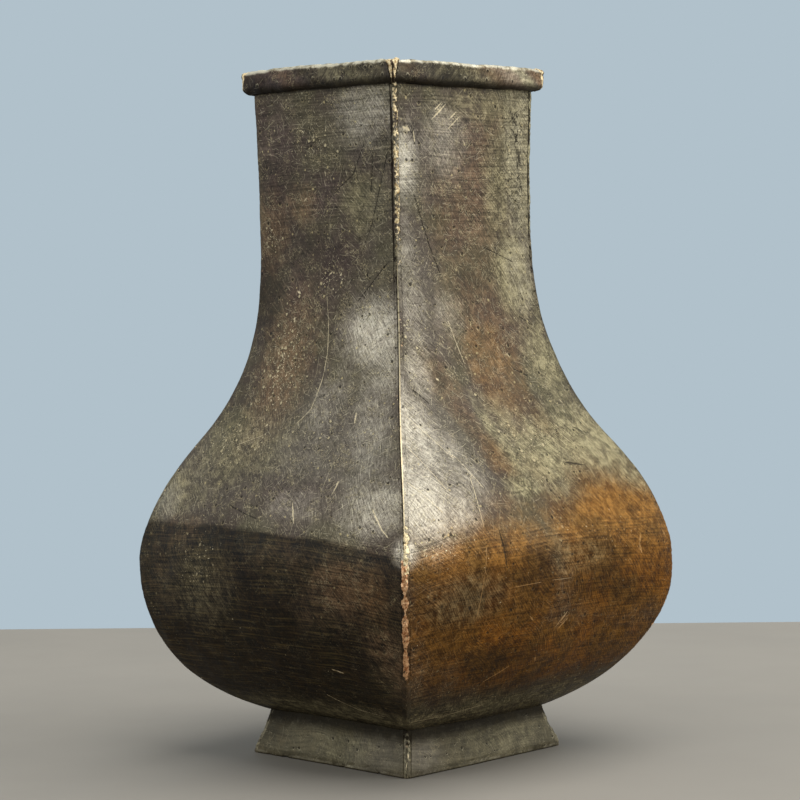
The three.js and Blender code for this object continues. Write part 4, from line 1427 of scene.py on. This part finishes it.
# %% The worn copper of the lip and the foot
def make_worn_copper(name, light, dark, edge_strength, pitted, contrast):
    material, shader, surface, place = start_material(name)
    colour, on = patina(surface, place, light, dark)
    lines = use_group(BRUSH_LINES, Surface=surface, Pitch=0.8, Stretch=24.0, Wander=8.0)
    colour, weathered = weather(colour, place, on, min(1.0, contrast - 0.4))
    grain = 1.0 + about(on.fine, contrast * 0.8) + about(on.mid, contrast * 0.5)
    colour = shade_by(colour, grain + about(on.dust, contrast) + about(lines, 1.4))
    edge = broken(mark("edge"), on.mid, 1.6, 0.25) * edge_strength
    scratches = use_group(SCRATCHES, Surface=surface, Spacing=2.2, Length=1.8, Width=0.1, Share=0.5, Seed=3.0)
    pits = use_group(PITS, Surface=surface, Spacing=2.4, Radius=0.42, Share=pitted, Seed=4.0)
    # The under and crease marks are painted shade: under the lip's nose, where the foot stands on the table
    # and at the top of the foot under the belly.
    shade_and_grime, back = broken(largest(mark("under"), mark("crease")), on.mid, 1.4, 0.4), mark("back")
    # The pale lower rims of the pits are painted highlights.
    colour = coats(
        colour, (edge, blend(soft_step(on.mid, 0.36, 0.56), (166, 152, 122), (226, 216, 190))),
        (pits * 0.75, DIRT_AND_SHADE), (largest(scratches, pits["Rim"]) * 0.35, (200, 188, 156)),
        (shade_and_grime * 0.9, DIRT_AND_SHADE), (back, blend(on.mid, (40, 33, 26), (78, 66, 50))))
    metal = (0.34 + edge * 0.35 + shade_and_grime * -0.28) * (1.0 - back)
    rough = 0.46 + shade_and_grime * 0.2 + back * 0.2 + about(on.mid, 0.4)
    height = lines * 0.02 + on.fine * 0.05 + pits * -0.1 + scratches * -0.03 + weathered
    return finish_shader(material, shader, colour, metal, rough, height)


give(lips, make_worn_copper("lip copper", (74, 66, 52), (58, 51, 44), 0.95, 0.45, 1.4))
give(feet, make_worn_copper("foot copper", (99, 91, 70), (82, 75, 57), 0.3, 0.12, 0.9))

# %% [markdown]
# The braze was filed flush and has taken the same patina as the plates beside it, so most of a seam can
# hardly be told from the copper. It shows where something broke the patina: a bright hairline on the worn
# ridge, partly a painted highlight, pale gold lumps with black pores between them up the neck, and a strip of
# pink on the belly where filing laid it bare. The dark crack mark also carries painted shade: a thin line
# beside the ridge on the shoulders, the lower part of the wedges under the lip, and the tops of the foot's
# seams under the belly. Marks on the mesh say where each of these is, and noise mixes them.

# %% The braze
def make_braze():
    material, shader, surface, place = start_material("braze")
    colour, on = patina(surface, place, *GROUND)
    colour, weathered = weather(colour, place, on)
    colour = shade_by(colour, 1.0 + about(on.fine, 1.5) + about(on.dust, 1.5))

    def ragged(name, size, strength, start, end):
        return soft_step(mark(name) + about(noise(place, size, 4, 0.6), strength), start, end)

    pink = ragged("pink", 2.0, 2.2, 0.35, 0.6)
    cream = ragged("cream", 1.6, 3.4, 0.55, 0.75)
    # The ridge is partly a painted highlight, and the crack mark holds real cracks and, in places, painted
    # shade.
    ridge = ragged("ridge", 3.5, 1.2, 0.4, 0.75)
    crack_and_shade = ragged("crack_and_shade", 1.8, 1.8, 0.42, 0.6)
    pits = use_group(PITS, Surface=surface, Spacing=1.5, Radius=0.4, Share=0.3, Seed=6.0)
    shade_and_grime = largest(crack_and_shade, pits * 0.7)
    copper = blend(soft_step(on.fine, 0.36, 0.62), (164, 106, 66), (240, 192, 144))
    colour = coats(
        colour, (pink * soft_step(on.mid, 0.3, 0.42) * 0.95, copper),
        (cream, blend(soft_step(on.fine, 0.36, 0.56), (168, 138, 92), (242, 220, 174))),
        (ridge * 0.85, (228, 206, 164)), (shade_and_grime * 0.9, (30, 22, 14)))
    metal = (1.0 - shade_and_grime) * largest(on.bare, pink, ridge) * 0.45 + 0.3
    height = on.fine * 0.06 + pits * -0.1 + crack_and_shade * -0.12 + cream * 0.08 + weathered
    return finish_shader(material, shader, colour, metal, shade_and_grime * 0.25 + 0.42, height)


give(seams + wedges + foot_seams, make_braze())

# %% [markdown]
# The vase stands on a plain pale table, whose far edge is where the picture has it, in front of a plain
# pale blue grey. The background is only colour that the camera sees, so it adds no light to the metal. The
# lamps are three soft panels. The large one above lights the shoulders, which face up and outwards, and
# leaves the belly below them in shade. The two at the sides give each face something to reflect, and the
# right one is the stronger, as in the picture.

# %% The table, the background and the light
TABLE_SIDE, TABLE_TURN = 0.60, math.radians(-5.5)
BACKGROUND, ROOM_LIGHT, ROOM_STRENGTH = (177, 193, 203), (255, 255, 255), 0.38


def make_table():
    """A flat square whose far edge is turned a little out of the picture's plane."""
    steps = np.linspace(-1, 1, 3) * TABLE_SIDE / 2
    across, away = np.meshgrid(steps, steps)
    turn = Matrix.Rotation(TABLE_TURN, 3, "Z")
    right, near = np.array(turn @ TO_THE_RIGHT), np.array(turn @ TOWARDS_CAMERA)
    mesh = bpy.data.meshes.new("table")
    points = across.reshape(-1, 1) * right + away.reshape(-1, 1) * near
    mesh.from_pydata(points.tolist(), [], [(a, a + 3, a + 4, a + 1) for a in (0, 1, 3, 4)])
    table = put("table", mesh)
    material, shader, surface, place = start_material("pale table")
    feed(shader["Base Color"], blend(noise(place, 60, 2), (143, 138, 128), (153, 147, 136)))
    feed(shader["Roughness"], noise(place, 20, 2) * 0.1 + 0.7)
    mesh.materials.append(material)
    return table


def make_background():
    """The colour that the camera and mirrors see, and the plain white light of the room."""
    world = bpy.context.scene.world = bpy.data.worlds.new("room")
    world.use_nodes = True
    NOW.tree = world.node_tree
    path = add("ShaderNodeLightPath")
    in_view = largest(path["Is Camera Ray"], largest(path["Is Glossy Ray"], path["Is Transmission Ray"]))
    sky = NOW.tree.nodes["Background"].inputs
    feed(sky["Color"], blend(in_view, ROOM_LIGHT, BACKGROUND))
    feed(sky["Strength"], changed(in_view, 1.0 - ROOM_STRENGTH, ROOM_STRENGTH))


def make_lamp(name, here, width, height, watts):
    """A soft rectangular panel that faces the middle of the vase."""
    data = bpy.data.lights.new(name, "AREA")
    data.shape = "RECTANGLE"
    data.size, data.size_y, data.energy = width, height, watts
    aim(put(name, data), here, UP * (HEIGHT * MM / 2) - here)


table = make_table()
make_background()
make_lamp("overhead", seen_from_camera(0.25, 0.15, 1.35), 1.3, 1.1, 15)
make_lamp("right panel", seen_from_camera(1.15, 0.25, 0.62), 0.9, 0.9, 7.5)
make_lamp("left panel", seen_from_camera(-1.15, 0.2, 0.62), 0.9, 0.9, 4)
bpy.context.scene.view_settings.view_transform = "Standard"
print("stage:", table.name, "and three lamps")

# %% [markdown]
# The last step prints the box of the solids.

# %% The box of the solids
print("solids", [[round(c, 4) for c in corner] for corner in SOLID_BOX])
